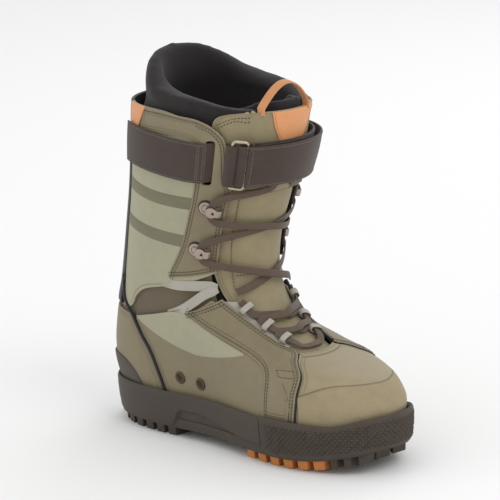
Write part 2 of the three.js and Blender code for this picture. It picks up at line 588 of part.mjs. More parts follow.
function buildStrap() {
  // The anchor lies on the facing, dives through its slot and comes out at the throat with the ring.
  const dive = (t) => lerp(-1.25, 4.1, smooth(t, 0.336, 0.358));
  const cols = 22;
  const aAt = (q) => 0.262 + (0.735 - 0.262) * (q < 0.5 ? q * 0.55 : 0.275 + (q - 0.5) * 1.45);
  const ribbon = (lift) => [0, 0.5, 1].map((p) => Array.from({ length: cols + 1 }, (_, c) => {
    const a = aAt(c / cols);
    const slope = 0.022 * smooth(a, 0.35, 0.75);
    return skin(lerp(STRAP_U[0], STRAP_U[1], p) + slope, -a, dive(a) + lift);
  }));
  addNode('strap_anchor', wallSolid(ribbon(STRAP_THICK / 2), ribbon(-STRAP_THICK / 2)), COLORS.strap);

  const frame = new THREE.Shape();
  const [tall, wide, corner, wire] = [RING_TALL, RING_WIDE, 3.5, RING_WIRE];
  const rounded = (path, w, h, r) => {
    path.moveTo(-w / 2 + r, -h / 2);
    path.absarc(w / 2 - r, -h / 2 + r, r, -Math.PI / 2, 0, false);
    path.absarc(w / 2 - r, h / 2 - r, r, 0, Math.PI / 2, false);
    path.absarc(-w / 2 + r, h / 2 - r, r, Math.PI / 2, Math.PI, false);
    path.absarc(-w / 2 + r, -h / 2 + r, r, Math.PI, 1.5 * Math.PI, false);
    return path;
  };
  rounded(frame, wide, tall, corner);
  frame.holes.push(rounded(new THREE.Path(), wide - 2 * wire, tall - 2 * wire, corner - 1.5));
  const ring = new THREE.ExtrudeGeometry(frame, { depth: wire, bevelEnabled: false, curveSegments: 3 });
  ring.applyMatrix4(frameAt(RING_U, RING_A, RING_LIFT, [0.05, 0]));
  addNode('strap_ring', ring, COLORS.ring, { roughness: 0.3, metalness: 1 });

  const onLateral = (t) => [t, lerp(1.2, 4.6, smooth(t, 0.12, 0.3))];
  const spread = (a0, a1, count, place) => (
    Array.from({ length: count + 1 }, (_, i) => place(lerp(a0, a1, i / count))));
  addNode('strap_base', ribbonThrough(spread(-0.18, 0.735, 22, onLateral)), COLORS.strap);
  const fold = [[-0.188, 1.2], [-0.205, 1.2], [-0.226, 2.0], [-0.237, 4.8], [-0.229, 7.8],
    [-0.205, TAIL_LIFT]];
  addNode('strap_fold', ribbonThrough(fold), COLORS.strap);
  const tail = spread(TAIL_START, 0.42, 14, (t) => [t, lerp(TAIL_LIFT, 9.0, smooth(t, 0.1, 0.3))]);
  addNode('strap_tail', ribbonThrough(tail), COLORS.strap);
}

// ---- laces ------------------------------------------------------------------------------------------
// A flat lace through a list of [u, a, lift] places, joined by one smooth curve.
function lace(route, steps, clear = 0) {
  const stops = route.map(([u, a, lift]) => skin(u, a, lift));
  const middle = new THREE.CatmullRomCurve3(stops, false, 'centripetal');
  const lean = new THREE.CatmullRomCurve3(route.map(([u, a]) => normal(u, a)), false, 'centripetal');
  const rows = [[], [], [], []];
  for (let i = 0; i <= steps; i += 1) {
    const t = i / steps;
    const centre = middle.getPoint(t);
    const ahead = middle.getPoint(Math.min(1, t + 0.002)).sub(middle.getPoint(Math.max(0, t - 0.002)));
    const out = lean.getPoint(t).projectOnPlane(ahead.normalize()).normalize();
    const across = ahead.clone().cross(out);
    [[-1, -1], [1, -1], [1, 1], [-1, 1]].forEach(([w, h], k) => {
      rows[k].push(centre.clone().addScaledVector(across, w * (LACE_WIDTH / 2 + clear))
        .addScaledVector(out, h * (LACE_THICK / 2 + clear)));
    });
  }
  return wallSolid([rows[3], rows[2]], [rows[0], rows[1]]);
}

// Up through a loop, or down where step is negative.
const throughLoop = (i, side, step) => [-1, 0, 1].map((k) => (
  [LOOPS[i][0] + k * step * 0.019, side * (LOOPS[i][1] + k * step * 0.015), 0.5 + LOOP_HOLE / 2]));

// Round the neck of a hook, from below to above.
function roundHook([, u, a], side) {
  const lift = OVERLAY[1] + 0.5 + HOOK_PLATE + 2.2;
  return [[u - 0.032, side * (a - 0.05), lift - 1], [u - 0.022, side * (a - 0.012), lift],
    [u, side * (a + 0.002), lift], [u + 0.022, side * (a - 0.012), lift],
    [u + 0.032, side * (a - 0.05), lift - 1]];
}

function lowerRoute() {
  const [under, over] = LACE_LIFTS;
  const middle = (u, lift) => [[u - 0.004, -0.02, lift], [u + 0.004, 0.02, lift]];
  const back = (u, lift) => [[u - 0.004, 0.02, lift], [u + 0.004, -0.02, lift]];
  const downwards = [...throughLoop(2, -1, -1), ...back(0.484, under).reverse(),
    ...throughLoop(1, 1, -1), ...middle(0.43, over).reverse(), ...throughLoop(0, -1, -1)];
  const bar = [[0.372, -0.06, 1.2], [0.37, 0, 1.2], [0.372, 0.06, 1.2]];
  const upwards = [...throughLoop(0, 1, 1), ...back(0.43, under), ...throughLoop(1, -1, 1),
    ...middle(0.484, over), ...throughLoop(2, 1, 1)];
  return [...downwards, ...bar, ...upwards];
}

function buildLaces() {
  const [under, over] = LACE_LIFTS;
  addNode('lace_lower', lace(lowerRoute(), LOWER_STEPS), COLORS.lace);
  SIDES.forEach(([name, side]) => {
    const [first, second] = side < 0 ? [over, under] : [under, over];
    const route = [[0.556, side * -0.20, 3.2], [0.578, side * -0.1, first], [0.605, side * 0.05, first],
      ...roundHook(HOOKS[0], side), [0.725, 0, second], ...roundHook(HOOKS[1], -side),
      [0.82, side * -0.06, 0], [0.845, side * -0.05, -1.7], [0.88, side * -0.03, -1.8]];
    addNode(`lace_upper_${name}`, lace(route, 48), COLORS.lace);
  });
}

buildSole();
buildLowerShell();
buildLaceLoops();
buildCuff();
buildAnkle();
buildTongue();
buildLiner();
buildHooks();
buildStrap();
buildLaces();

export default boot;
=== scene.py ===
"""A left lace-up snowboard boot: cupsole, leather shell, cuff, tongue, liner, laces and power strap."""
import logging
import math
from dataclasses import dataclass, field
from enum import Enum
from typing import Callable, Optional, Sequence

import bpy
import numpy as np
from mathutils import Matrix, Vector


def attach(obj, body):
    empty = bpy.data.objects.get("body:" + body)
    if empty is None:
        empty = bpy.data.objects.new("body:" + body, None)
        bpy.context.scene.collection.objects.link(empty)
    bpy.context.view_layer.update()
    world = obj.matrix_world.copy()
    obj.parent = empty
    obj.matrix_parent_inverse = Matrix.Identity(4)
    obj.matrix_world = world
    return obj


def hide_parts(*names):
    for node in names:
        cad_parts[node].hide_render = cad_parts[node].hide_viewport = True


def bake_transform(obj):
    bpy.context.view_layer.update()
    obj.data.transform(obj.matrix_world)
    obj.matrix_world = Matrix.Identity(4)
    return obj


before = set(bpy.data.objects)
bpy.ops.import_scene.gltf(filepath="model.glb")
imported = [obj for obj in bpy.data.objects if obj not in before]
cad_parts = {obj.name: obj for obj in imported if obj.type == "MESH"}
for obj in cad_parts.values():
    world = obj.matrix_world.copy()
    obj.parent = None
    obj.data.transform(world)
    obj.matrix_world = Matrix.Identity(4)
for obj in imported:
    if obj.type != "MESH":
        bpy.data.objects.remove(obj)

log = logging.getLogger("boot")
MM = 0.001
ORIGIN = np.array([148.3, 1.1, 0.0])
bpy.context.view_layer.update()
Chain = Sequence[tuple[float, float]]
Route = list[tuple[float, float, float]]
FEATHER = -0.06


class Side(Enum):
    """The two sides of the boot, with the sign of a on each."""

    MEDIAL = -1
    LATERAL = 1

    @property
    def word(self) -> str:
        """The side's name as the nodes have it."""
        return self.name.lower()


class Body(Enum):
    """What a piece moves with."""

    LOWER = "lower_boot"
    CUFF = "cuff"
    RING = "ring"
    TAIL = "strap_tail"
    LOOP = "pull_loop"
    ANKLE = "ankle"


def smooth(x: np.ndarray, a: float, b: float) -> np.ndarray:
    """A soft step from 0 at a to 1 at b."""
    t = np.clip((np.asarray(x, float) - a) / (b - a), 0, 1)
    return t * t * (3 - 2 * t)


def paint(red: int, green: int, blue: int) -> tuple[float, float, float, float]:
    """A paint shop colour, 0 to 255, as linear light."""
    def one(v: float) -> float:
        """One channel."""
        v /= 255
        return v / 12.92 if v <= 0.04045 else ((v + 0.055) / 1.055) ** 2.4
    return (one(red), one(green), one(blue), 1.0)


def unit(v: np.ndarray) -> np.ndarray:
    """The same directions with length 1."""
    return v / np.maximum(np.linalg.norm(v, axis=1)[:, None], 1e-9)


def walked(line: np.ndarray) -> np.ndarray:
    """How far along a line each of its points lies."""
    return np.concatenate([[0], np.cumsum(np.linalg.norm(np.diff(line, axis=0), axis=1))])


# ---- the last -----------------------------------------------------------------------------------
@dataclass(frozen=True)
class Last:
    """The surface that every shell piece lies on: u from feather line to cuff top, a round the boot."""

    toe_in: float = 14.0
    rise_per_u: float = 100.0
    rows: tuple = (
        (0.00, 300, 42, -1, 36, 42, 56, 42, 58, 2.9, 4.0, 6, 3),
        (0.07, 301, 57, -6, 52, 43, 56, 43, 58, 2.8, 3.9, 5, 2),
        (0.16, 285, 73, -7, 68, 43, 54, 43, 56, 2.7, 3.7, 3, 1),
        (0.27, 245, 80, -4, 86, 42, 51, 42, 53, 2.6, 3.5, 1, 0),
        (0.38, 206, 88, 1, 104, 43, 48, 43, 50, 2.5, 3.2, 0, 0),
        (0.48, 178, 106, 8, 122, 44, 46, 44, 48, 2.4, 2.9, 0, 0),
        (0.58, 164, 134, 14, 144, 46, 46, 46, 47, 2.4, 2.6, 0, 0),
        (0.68, 165, 166, 21, 172, 49, 49, 49, 49, 2.4, 2.5, 0, 0),
        (0.79, 178, 204, 29, 206, 54, 53, 54, 53, 2.3, 2.4, 0, 0),
        (0.90, 192, 243, 36, 245, 59, 58, 59, 58, 2.3, 2.4, 0, 0),
        (1.00, 201, 277, 40, 280, 61, 60, 61, 60, 2.3, 2.4, 0, 0),
    )

    def station(self, u: np.ndarray) -> np.ndarray:
        """The twelve measures of the section at each level u.

        Args:
            u: Levels from 0 to 1.

        Returns:
            One row of measures per level.
        """
        table = np.array(self.rows, float)
        knots, values = table[:, 0], table[:, 1:]
        low = np.maximum(np.arange(len(knots)) - 1, 0)
        high = np.minimum(np.arange(len(knots)) + 1, len(knots) - 1)
        slopes = (values[high] - values[low]) / (knots[high] - knots[low])[:, None]
        i = np.clip(np.searchsorted(knots, u, side="left") - 1, 0, len(knots) - 2)
        span = (knots[i + 1] - knots[i])[:, None]
        t = (u - knots[i])[:, None] / span
        blend = 2 * t**3 - 3 * t * t
        rise = (t**3 - 2 * t * t + t) * span * slopes[i]
        fall = (t**3 - t * t) * span * slopes[i + 1]
        return (blend + 1) * values[i] + rise - blend * values[i + 1] + fall

    def bare(self, u: np.ndarray, a: np.ndarray) -> np.ndarray:
        """Points on the last, in millimetres from the heel.

        Args:
            u: Levels, which go straight on below 0 and above 1.
            a: Places round the boot, which wrap past 1 and -1.

        Returns:
            One point per row.
        """
        u, a = np.broadcast_arrays(np.atleast_1d(np.asarray(u, float)), np.asarray(a, float))
        a = np.where(a > 1, a - 2, np.where(a < -1, a + 2, a))
        inside = np.clip(u, 0, 1)
        fx, fz, bx, bz, mh, mb, lh, lb, front, back, pm, pl = self.station(inside).T
        t = (1 + np.cos(np.pi * np.abs(a))) / 2
        k = smooth(t, 0.15, 0.75)
        medial = a < 0
        heel, ball, pinch = np.where(medial, mh, lh), np.where(medial, mb, lb), np.where(medial, pm, pl)
        half = heel * (1 - k) + ball * k - pinch * np.exp(-(((t - 0.42) / 0.16) ** 2))
        power = np.where(t > 0.5, front, back)
        x = bx + (fx - bx) * t
        z = bz + (fz - bz) * t
        y = np.where(medial, -1, 1) * half * np.sqrt(np.maximum(0, 1 - np.abs(2 * t - 1) ** power))
        y = y - self.toe_in * smooth(x, 150, 300) * (1 - smooth(z, 60, 190))
        return np.stack([x, y, z + (u - inside) * self.rise_per_u], 1)

    def normal(self, u: np.ndarray, a: np.ndarray) -> np.ndarray:
        """Outward directions at places on the last."""
        step = 0.006
        u, a = np.asarray(u, float), np.asarray(a, float)
        n = np.cross(self.bare(u, a + step) - self.bare(u, a - step),
                     self.bare(u + step, a) - self.bare(u - step, a))
        return unit(n)

    def skin(self, u: np.ndarray, a: np.ndarray, lift: np.ndarray = 0.0) -> np.ndarray:
        """Points at a lift off the last, in metres in the boot's frame."""
        u, a = np.broadcast_arrays(np.atleast_1d(np.asarray(u, float)), np.asarray(a, float))
        lift = np.broadcast_to(np.asarray(lift, float), u.shape)
        return (self.bare(u, a) + self.normal(u, a) * lift[:, None] - ORIGIN) * MM

    def shift(self, u: np.ndarray, a: np.ndarray, move: np.ndarray) -> tuple[np.ndarray, np.ndarray]:
        """The places that lie a short way along the surface.

        Args:
            u: Levels.
            a: Places round the boot.
            move: How far to go, as vectors in millimetres.

        Returns:
            The new levels and places.
        """
        h = 0.004
        pu = (self.bare(u + h, a) - self.bare(u - h, a)) / (2 * h)
        pa = (self.bare(u, a + h) - self.bare(u, a - h)) / (2 * h)
        uu, ua, aa = (pu * pu).sum(1), (pu * pa).sum(1), (pa * pa).sum(1)
        bu, ba = (pu * move).sum(1), (pa * move).sum(1)
        det = np.maximum(uu * aa - ua * ua, 1e-6)
        return u + (bu * aa - ba * ua) / det, a + (ba * uu - bu * ua) / det


LAST = Last()


def spring(x: np.ndarray) -> np.ndarray:
    """How far the sole is lifted at x millimetres from the heel."""
    return 13 * np.maximum(0, (np.asarray(x, float) - 215) / 90) ** 1.8


def follow(points: Sequence[Sequence[float]], t: np.ndarray, corners: Sequence[int] = ()) -> np.ndarray:
    """A smooth curve through points, straight at its corners.

    Args:
        points: The places that it passes.
        t: Where to read it, counted in points.
        corners: Numbers of the points where it turns sharply.

    Returns:
        One row per reading.
    """
    p = np.array(points, float)
    slopes = np.zeros_like(p)
    slopes[1:-1] = (p[2:] - p[:-2]) / 2
    slopes[0], slopes[-1] = p[1] - p[0], p[-1] - p[-2]
    arrive, leave = slopes.copy(), slopes.copy()
    for c in corners:
        arrive[c], leave[c] = p[c] - p[c - 1], p[c + 1] - p[c]
    i = np.clip(np.floor(t).astype(int), 0, len(p) - 2)
    f = (t - i)[:, None]
    span = np.linalg.norm(p[i + 1] - p[i], axis=1)[:, None]
    def tamed(s: np.ndarray) -> np.ndarray:
        """A slope kept no longer than the span it serves."""
        size = np.linalg.norm(s, axis=1)[:, None]
        return s * np.minimum(1, 1.3 * span / np.maximum(size, 1e-9))
    m0, m1 = tamed(leave[i]), tamed(arrive[i + 1])
    h = 2 * f**3 - 3 * f * f
    return (h + 1) * p[i] - h * p[i + 1] + (f**3 - 2 * f * f + f) * m0 + (f**3 - f * f) * m1


# ---- the workbench ------------------------------------------------------------------------------
class Bench:
    """Makes meshes from primitives and finishes them with modifiers."""

    @staticmethod
    def clear() -> None:
        """Deselect everything, in object mode."""
        if bpy.context.object and bpy.context.object.mode != "OBJECT":
            bpy.ops.object.mode_set(mode="OBJECT")
        bpy.ops.object.select_all(action="DESELECT")

    @staticmethod
    def pick(piece: bpy.types.Object) -> None:
        """Make a piece the only one selected."""
        Bench.clear()
        piece.select_set(True)
        bpy.context.view_layer.objects.active = piece

    @staticmethod
    def points(piece: bpy.types.Object) -> np.ndarray:
        """The piece's points, one per row."""
        co = np.empty(len(piece.data.vertices) * 3)
        piece.data.vertices.foreach_get("co", co)
        return co.reshape(-1, 3)

    @staticmethod
    def set_points(piece: bpy.types.Object, co: np.ndarray) -> None:
        """Put the piece's points in new places."""
        piece.data.vertices.foreach_set("co", np.ascontiguousarray(co, dtype=float).ravel())
        piece.data.update()

    @staticmethod
    def uv(piece: bpy.types.Object, name: str, values: np.ndarray) -> None:
        """Give each point of a piece a pair of values in a named UV map."""
        layer = piece.data.uv_layers.get(name) or piece.data.uv_layers.new(name=name)
        index = np.empty(len(piece.data.loops), int)
        piece.data.loops.foreach_get("vertex_index", index)
        layer.data.foreach_set("uv", np.ascontiguousarray(values[index], dtype=float).ravel())

    @staticmethod
    def grid(name: str, rows: int, cols: int) -> tuple[bpy.types.Object, np.ndarray, np.ndarray]:
        """A flat grid to be shaped.

        Args:
            name: The piece's name.
            rows: Faces along it.
            cols: Faces across it.

        Returns:
            The piece, and each point's share along and across.
        """
        Bench.clear()
        bpy.ops.mesh.primitive_grid_add(x_subdivisions=rows, y_subdivisions=cols, size=2)
        piece = bpy.context.object
        piece.name = piece.data.name = name
        co = Bench.points(piece)
        return piece, (co[:, 0] + 1) / 2, (co[:, 1] + 1) / 2

    @staticmethod
    def edit(piece: bpy.types.Object, *steps: Callable[[], object]) -> None:
        """Run operators in edit mode on all of a piece.

        Args:
            piece: The piece.
            steps: The operators.
        """
        Bench.pick(piece)
        bpy.ops.object.mode_set(mode="EDIT")
        bpy.ops.mesh.select_all(action="SELECT")
        for step in steps:
            step()
        bpy.ops.object.mode_set(mode="OBJECT")

    @staticmethod
    def modify(piece: bpy.types.Object, kind: str, **settings: object) -> None:
        """Add one modifier and apply it."""
        Bench.pick(piece)
        modifier = piece.modifiers.new(kind.lower(), kind)
        for key, value in settings.items():
            setattr(modifier, key, value)
        bpy.ops.object.modifier_apply(modifier=modifier.name)

    @staticmethod
    def face_out(piece: bpy.types.Object, outward: np.ndarray) -> None:
        """Flip a sheet whose faces look the wrong way.

        Args:
            piece: The sheet.
            outward: The outward direction at each point.
        """
        total = 0.0
        for polygon in list(piece.data.polygons)[:: max(1, len(piece.data.polygons) // 60)]:
            total += float(np.dot(np.array(polygon.normal), outward[polygon.vertices[0]]))
        if total < 0:
            Bench.edit(piece, bpy.ops.mesh.flip_normals)

    @staticmethod
    def thicken(piece: bpy.types.Object, thick: float, edge: float = 0.4, angle: float = 40) -> None:
        """Give a sheet its thickness inwards, with rounded edges, in millimetres."""
        Bench.modify(piece, "SOLIDIFY", thickness=thick * MM, offset=-1)
        if edge:
            Bench.modify(piece, "BEVEL", width=edge * MM, segments=2, limit_method="ANGLE",
                         angle_limit=math.radians(50), use_clamp_overlap=True)
        Bench.soften(piece, angle)

    @staticmethod
    def soften(piece: bpy.types.Object, angle: float = 40) -> None:
        """Shade a piece smooth where its faces meet at less than an angle."""
        Bench.pick(piece)
        bpy.ops.object.shade_smooth_by_angle(angle=math.radians(angle))

    @staticmethod
    def tube(name: str, sections: np.ndarray, closed: bool = False) -> bpy.types.Object:
        """A solid swept through closed sections.

        Args:
            name: The piece's name.
            sections: Points in metres, by section, by place round it.
            closed: Whether the last section runs into the first.

        Returns:
            The piece, with faces outwards and its ends filled.
        """
        count, around = sections.shape[:2]
        rows = count if closed else count - 1
        piece, s, t = Bench.grid(name, rows, around)
        r = np.rint(s * rows).astype(int) % count
        c = np.rint(t * around).astype(int) % around
        Bench.set_points(piece, sections[r, c])
        steps = np.linalg.norm(np.diff(sections.mean(1), axis=0), axis=1)
        run = walked(sections.mean(1))
        run = np.concatenate([run, [run[-1] + steps.mean()]])
        reach = walked(np.concatenate([sections[0], sections[0][:1]]))
        Bench.uv(piece, "UVMap", np.stack([run[np.rint(s * rows).astype(int)],
                                           reach[np.rint(t * around).astype(int)]], 1))
        Bench.edit(piece, lambda: bpy.ops.mesh.remove_doubles(threshold=1e-6),
                   lambda: bpy.ops.mesh.select_all(action="SELECT"),
                   lambda: bpy.ops.mesh.fill_holes(sides=0),
                   lambda: bpy.ops.mesh.select_all(action="SELECT"),
                   lambda: bpy.ops.mesh.normals_make_consistent(inside=False))
        Bench.soften(piece, 45)
        return piece

    @staticmethod
    def join(name: str, pieces: Sequence[bpy.types.Object]) -> bpy.types.Object:
        """Join pieces into one of that name.

        Args:
            name: The joined piece's name.
            pieces: The pieces.

        Returns:
            The joined piece.
        """
        Bench.pick(pieces[0])
        for piece in pieces:
            piece.select_set(True)
        bpy.ops.object.join()
        joined = bpy.context.object
        joined.name = joined.data.name = name
        return joined

    @staticmethod
    def cut(piece: bpy.types.Object, cutter: bpy.types.Object) -> None:
        """Cut one solid out of another and clear the cutter away."""
        Bench.modify(piece, "BOOLEAN", operation="DIFFERENCE", object=cutter, solver="EXACT")
        bpy.data.objects.remove(cutter, do_unlink=True)

    @staticmethod
    def dress(piece: bpy.types.Object, finish: "Finish", body: Body, nodes: Sequence[str] = (),
              slot: Optional[str] = None) -> bpy.types.Object:
        """Give a finished piece its material, its body and the nodes it stands for.

        Args:
            piece: The piece.
            finish: Its finish.
            body: What it moves with.
            nodes: The nodes that it replaces.
            slot: The record's material slot; not used.

        Returns:
            The piece.
        """
        piece.data.materials.clear()
        piece.data.materials.append(finish.material())
        if body is Body.ANKLE:
            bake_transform(piece)
        else:
            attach(piece, body.value)
        if nodes:
            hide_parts(*nodes)
        log.info("%s on %s, %d faces", piece.name, body.value, len(piece.data.polygons))
        return piece


# ---- finishes -----------------------------------------------------------------------------------
class Graph:
    """A node tree and short ways to fill it."""

    def __init__(self, tree: bpy.types.NodeTree) -> None:
        """Keep the tree."""
        self.tree = tree

    def add(self, kind: str, inputs: Optional[dict] = None, **settings: object) -> bpy.types.Node:
        """Add a node.

        Args:
            kind: The node's type.
            inputs: Values or sockets for its inputs, by name or number.
            settings: Values for its properties.

        Returns:
            The node.
        """
        node = self.tree.nodes.new(kind)
        for key, value in settings.items():
            setattr(node, key, value)
        for key, value in (inputs or {}).items():
            if isinstance(value, bpy.types.NodeSocket):
                self.tree.links.new(value, node.inputs[key])
            else:
                node.inputs[key].default_value = value
        return node

    def math(self, operation: str, a: object, b: object = 0.0) -> bpy.types.NodeSocket:
        """The result of one sum on two values or sockets."""
        return self.add("ShaderNodeMath", {0: a, 1: b}, operation=operation).outputs[0]

    def mix(self, factor: object, a: object, b: object, blend: str = "MIX") -> bpy.types.NodeSocket:
        """A colour mixed from two.

        Args:
            factor: Share of the second colour.
            a: The first colour.
            b: The second colour.
            blend: How they mix.

        Returns:
            The mixed colour.
        """
        node = self.add("ShaderNodeMix", None, data_type="RGBA", blend_type=blend)
        for key, value in ((0, factor), (6, a), (7, b)):
            if isinstance(value, bpy.types.NodeSocket):
                self.tree.links.new(value, node.inputs[key])
            else:
                node.inputs[key].default_value = value
        return node.outputs[2]

    def noise(self, scale: object, detail: float = 3, vector: object = None) -> bpy.types.NodeSocket:
        """Noise on object coordinates, or on a vector of its own."""
        if vector is None:
            vector = self.add("ShaderNodeTexCoord").outputs["Object"]
        return self.add("ShaderNodeTexNoise", {"Vector": vector, "Scale": scale, "Detail": detail}).outputs[0]


def group(name: str, inputs: dict, outputs: dict,
          fill: Callable[[Graph, dict, dict], None]) -> bpy.types.NodeTree:
    """A shared node group, made the first time it is asked for.

    Args:
        name: Its name.
        inputs: Default value of each input; a tuple is a colour.
        outputs: Kind of each output.
        fill: Builds the inside from the input sockets and fills the output sockets.

    Returns:
        The group.
    """
    if name in bpy.data.node_groups:
        return bpy.data.node_groups[name]
    tree = bpy.data.node_groups.new(name, "ShaderNodeTree")
    for key, value in inputs.items():
        kind = "NodeSocketColor" if isinstance(value, tuple) else "NodeSocketFloat"
        tree.interface.new_socket(name=key, in_out="INPUT", socket_type=kind).default_value = value
    for key, kind in outputs.items():
        tree.interface.new_socket(name=key, in_out="OUTPUT", socket_type=kind)
    g = Graph(tree)
    enter, leave = g.add("NodeGroupInput"), g.add("NodeGroupOutput")
    fill(g, enter.outputs, leave.inputs)
    return tree


def tone_group() -> bpy.types.NodeTree:
    """Uneven dye: a colour that drifts between a light and a dark tone, and a mask of the drift.

    Returns:
        The group.
    """
    def fill(g: Graph, given: dict, out: dict) -> None:
        """Two sizes of cloud.

        Args:
            g: The graph.
            given: The group's inputs by name.
            out: Filled with its outputs by name.
        """
        big, small = g.noise(14, 2), g.noise(120, 4)
        both = g.math("ADD", g.math("MULTIPLY", big, 0.6), g.math("MULTIPLY", small, 0.4))
        spread = g.math("MULTIPLY", g.math("SUBTRACT", both, 0.5), given["Drift"])
        mask = g.add("ShaderNodeClamp", {0: g.math("ADD", g.math("MULTIPLY", spread, 4.0), 0.5)}).outputs[0]
        g.tree.links.new(g.mix(mask, given["Dark"], given["Light"]), out["Color"])
        g.tree.links.new(mask, out["Mask"])
    return group("uneven_dye", {"Light": (1, 1, 1, 1), "Dark": (0, 0, 0, 1), "Drift": 1.0},
                 {"Color": "NodeSocketColor", "Mask": "NodeSocketFloat"}, fill)


def grain_group() -> bpy.types.NodeTree:
    """Leather grain: pebbles with fine creases between them.

    Returns:
        The group.
    """
    def fill(g: Graph, given: dict, out: dict) -> None:
        """Cells and fibres.

        Args:
            g: The graph.
            given: The group's inputs by name.
            out: Filled with its outputs by name.
        """
        place = g.add("ShaderNodeTexCoord").outputs["Object"]
        cells = g.add("ShaderNodeTexVoronoi", {"Vector": place, "Scale": given["Scale"], "Randomness": 1.0},
                      feature="DISTANCE_TO_EDGE").outputs["Distance"]
        crease = g.add("ShaderNodeMapRange", {0: cells, 1: 0.0, 2: 0.25, 3: 0.0, 4: 1.0}).outputs[0]
        fibre = g.noise(g.math("MULTIPLY", given["Scale"], 2.6), 3.0, place)
        both = g.math("ADD", g.math("MULTIPLY", crease, 0.6), g.math("MULTIPLY", fibre, 0.6))
        g.tree.links.new(both, out["Height"])
        g.tree.links.new(crease, out["Crease"])
    return group("leather_grain", {"Scale": 900.0},
                 {"Height": "NodeSocketFloat", "Crease": "NodeSocketFloat"}, fill)


def rim_group() -> bpy.types.NodeTree:
    """What happens near a panel's cut edge: a worn line, and the dents that two rows of thread pull, which
    are also painted darker as painted shade.

    Returns:
        The group.
    """
    def fill(g: Graph, given: dict, out: dict) -> None:
        """All from the distance to the edge, which the rim map holds in metres.

        Args:
            g: The graph.
            given: The group's inputs by name.
            out: Filled with its outputs by name.
        """
        rim = g.add("ShaderNodeUVMap", None, uv_map="rim").outputs[0]
        away = g.math("MULTIPLY", g.add("ShaderNodeSeparateXYZ", {0: rim}).outputs[0], 1000.0)
        near = g.add("ShaderNodeMapRange", {0: away, 1: 0.0, 2: given["Wear"], 3: 1.0, 4: 0.0}).outputs[0]
        g.tree.links.new(g.math("MULTIPLY", near, g.noise(260, 3)), out["Near"])
        def dent(row: object) -> bpy.types.NodeSocket:
            """A soft trench at one row's distance."""
            off = g.math("DIVIDE", g.math("SUBTRACT", away, row), 0.7)
            return g.math("EXPONENT", g.math("MULTIPLY", g.math("MULTIPLY", off, off), -1.0))
        g.tree.links.new(g.math("ADD", dent(given["Row"]), dent(given["Second"])), out["Dent"])
    return group("sewn_edge", {"Wear": 1.6, "Row": 2.2, "Second": 4.6},
                 {"Near": "NodeSocketFloat", "Dent": "NodeSocketFloat"}, fill)


def weave_group() -> bpy.types.NodeTree:
    """Yarns that pass over and under each other, along the piece's own map.

    Returns:
        The group.
    """
    def fill(g: Graph, given: dict, out: dict) -> None:
        """Twill: each yarn steps along by one.

        Args:
            g: The graph.
            given: The group's inputs by name.
            out: Filled with its outputs by name.
        """
        where = g.add("ShaderNodeSeparateXYZ", {0: g.add("ShaderNodeUVMap", None, uv_map="UVMap").outputs[0]})
        x = g.math("MULTIPLY", where.outputs[0], given["Along"])
        y = g.math("MULTIPLY", where.outputs[1], given["Across"])
        yarn = g.math("ABSOLUTE", g.math("SINE", g.math("MULTIPLY", y, math.pi)))
        row = g.math("FLOOR", y)
        step = g.math("ADD", x, g.math("MULTIPLY", row, given["Step"]))
        hump = g.math("ABSOLUTE", g.math("SINE", g.math("MULTIPLY", step, math.pi)))
        top = g.math("ADD", g.math("MULTIPLY", hump, 0.7), 0.3)
        g.tree.links.new(g.math("MULTIPLY", g.math("POWER", yarn, 0.6), top), out["Height"])
    return group("woven_yarn", {"Along": 700.0, "Across": 900.0, "Step": 0.5},
                 {"Height": "NodeSocketFloat"}, fill)


def fuzz_group() -> bpy.types.NodeTree:
    """A brushed surface: short fibres and the lint that they hold.

    Returns:
        The group.
    """
    def fill(g: Graph, given: dict, out: dict) -> None:
        """Stretched noise over fine noise.

        Args:
            g: The graph.
            given: The group's inputs by name.
            out: Filled with its outputs by name.
        """
        place = g.add("ShaderNodeTexCoord").outputs["Object"]
        laid = g.add("ShaderNodeMapping", {"Vector": place, "Scale": (1, 1, 0.35)}).outputs[0]
        fibres = g.noise(given["Scale"], 5.0, laid)
        lint = g.noise(2400.0, 1.0, place)
        g.tree.links.new(g.math("ADD", fibres, g.math("MULTIPLY", lint, 0.3)), out["Height"])
        g.tree.links.new(g.math("GREATER_THAN", lint, given["Lint"]), out["Lint"])
    return group("brushed_pile", {"Scale": 700.0, "Lint": 0.72},
                 {"Height": "NodeSocketFloat", "Lint": "NodeSocketFloat"}, fill)


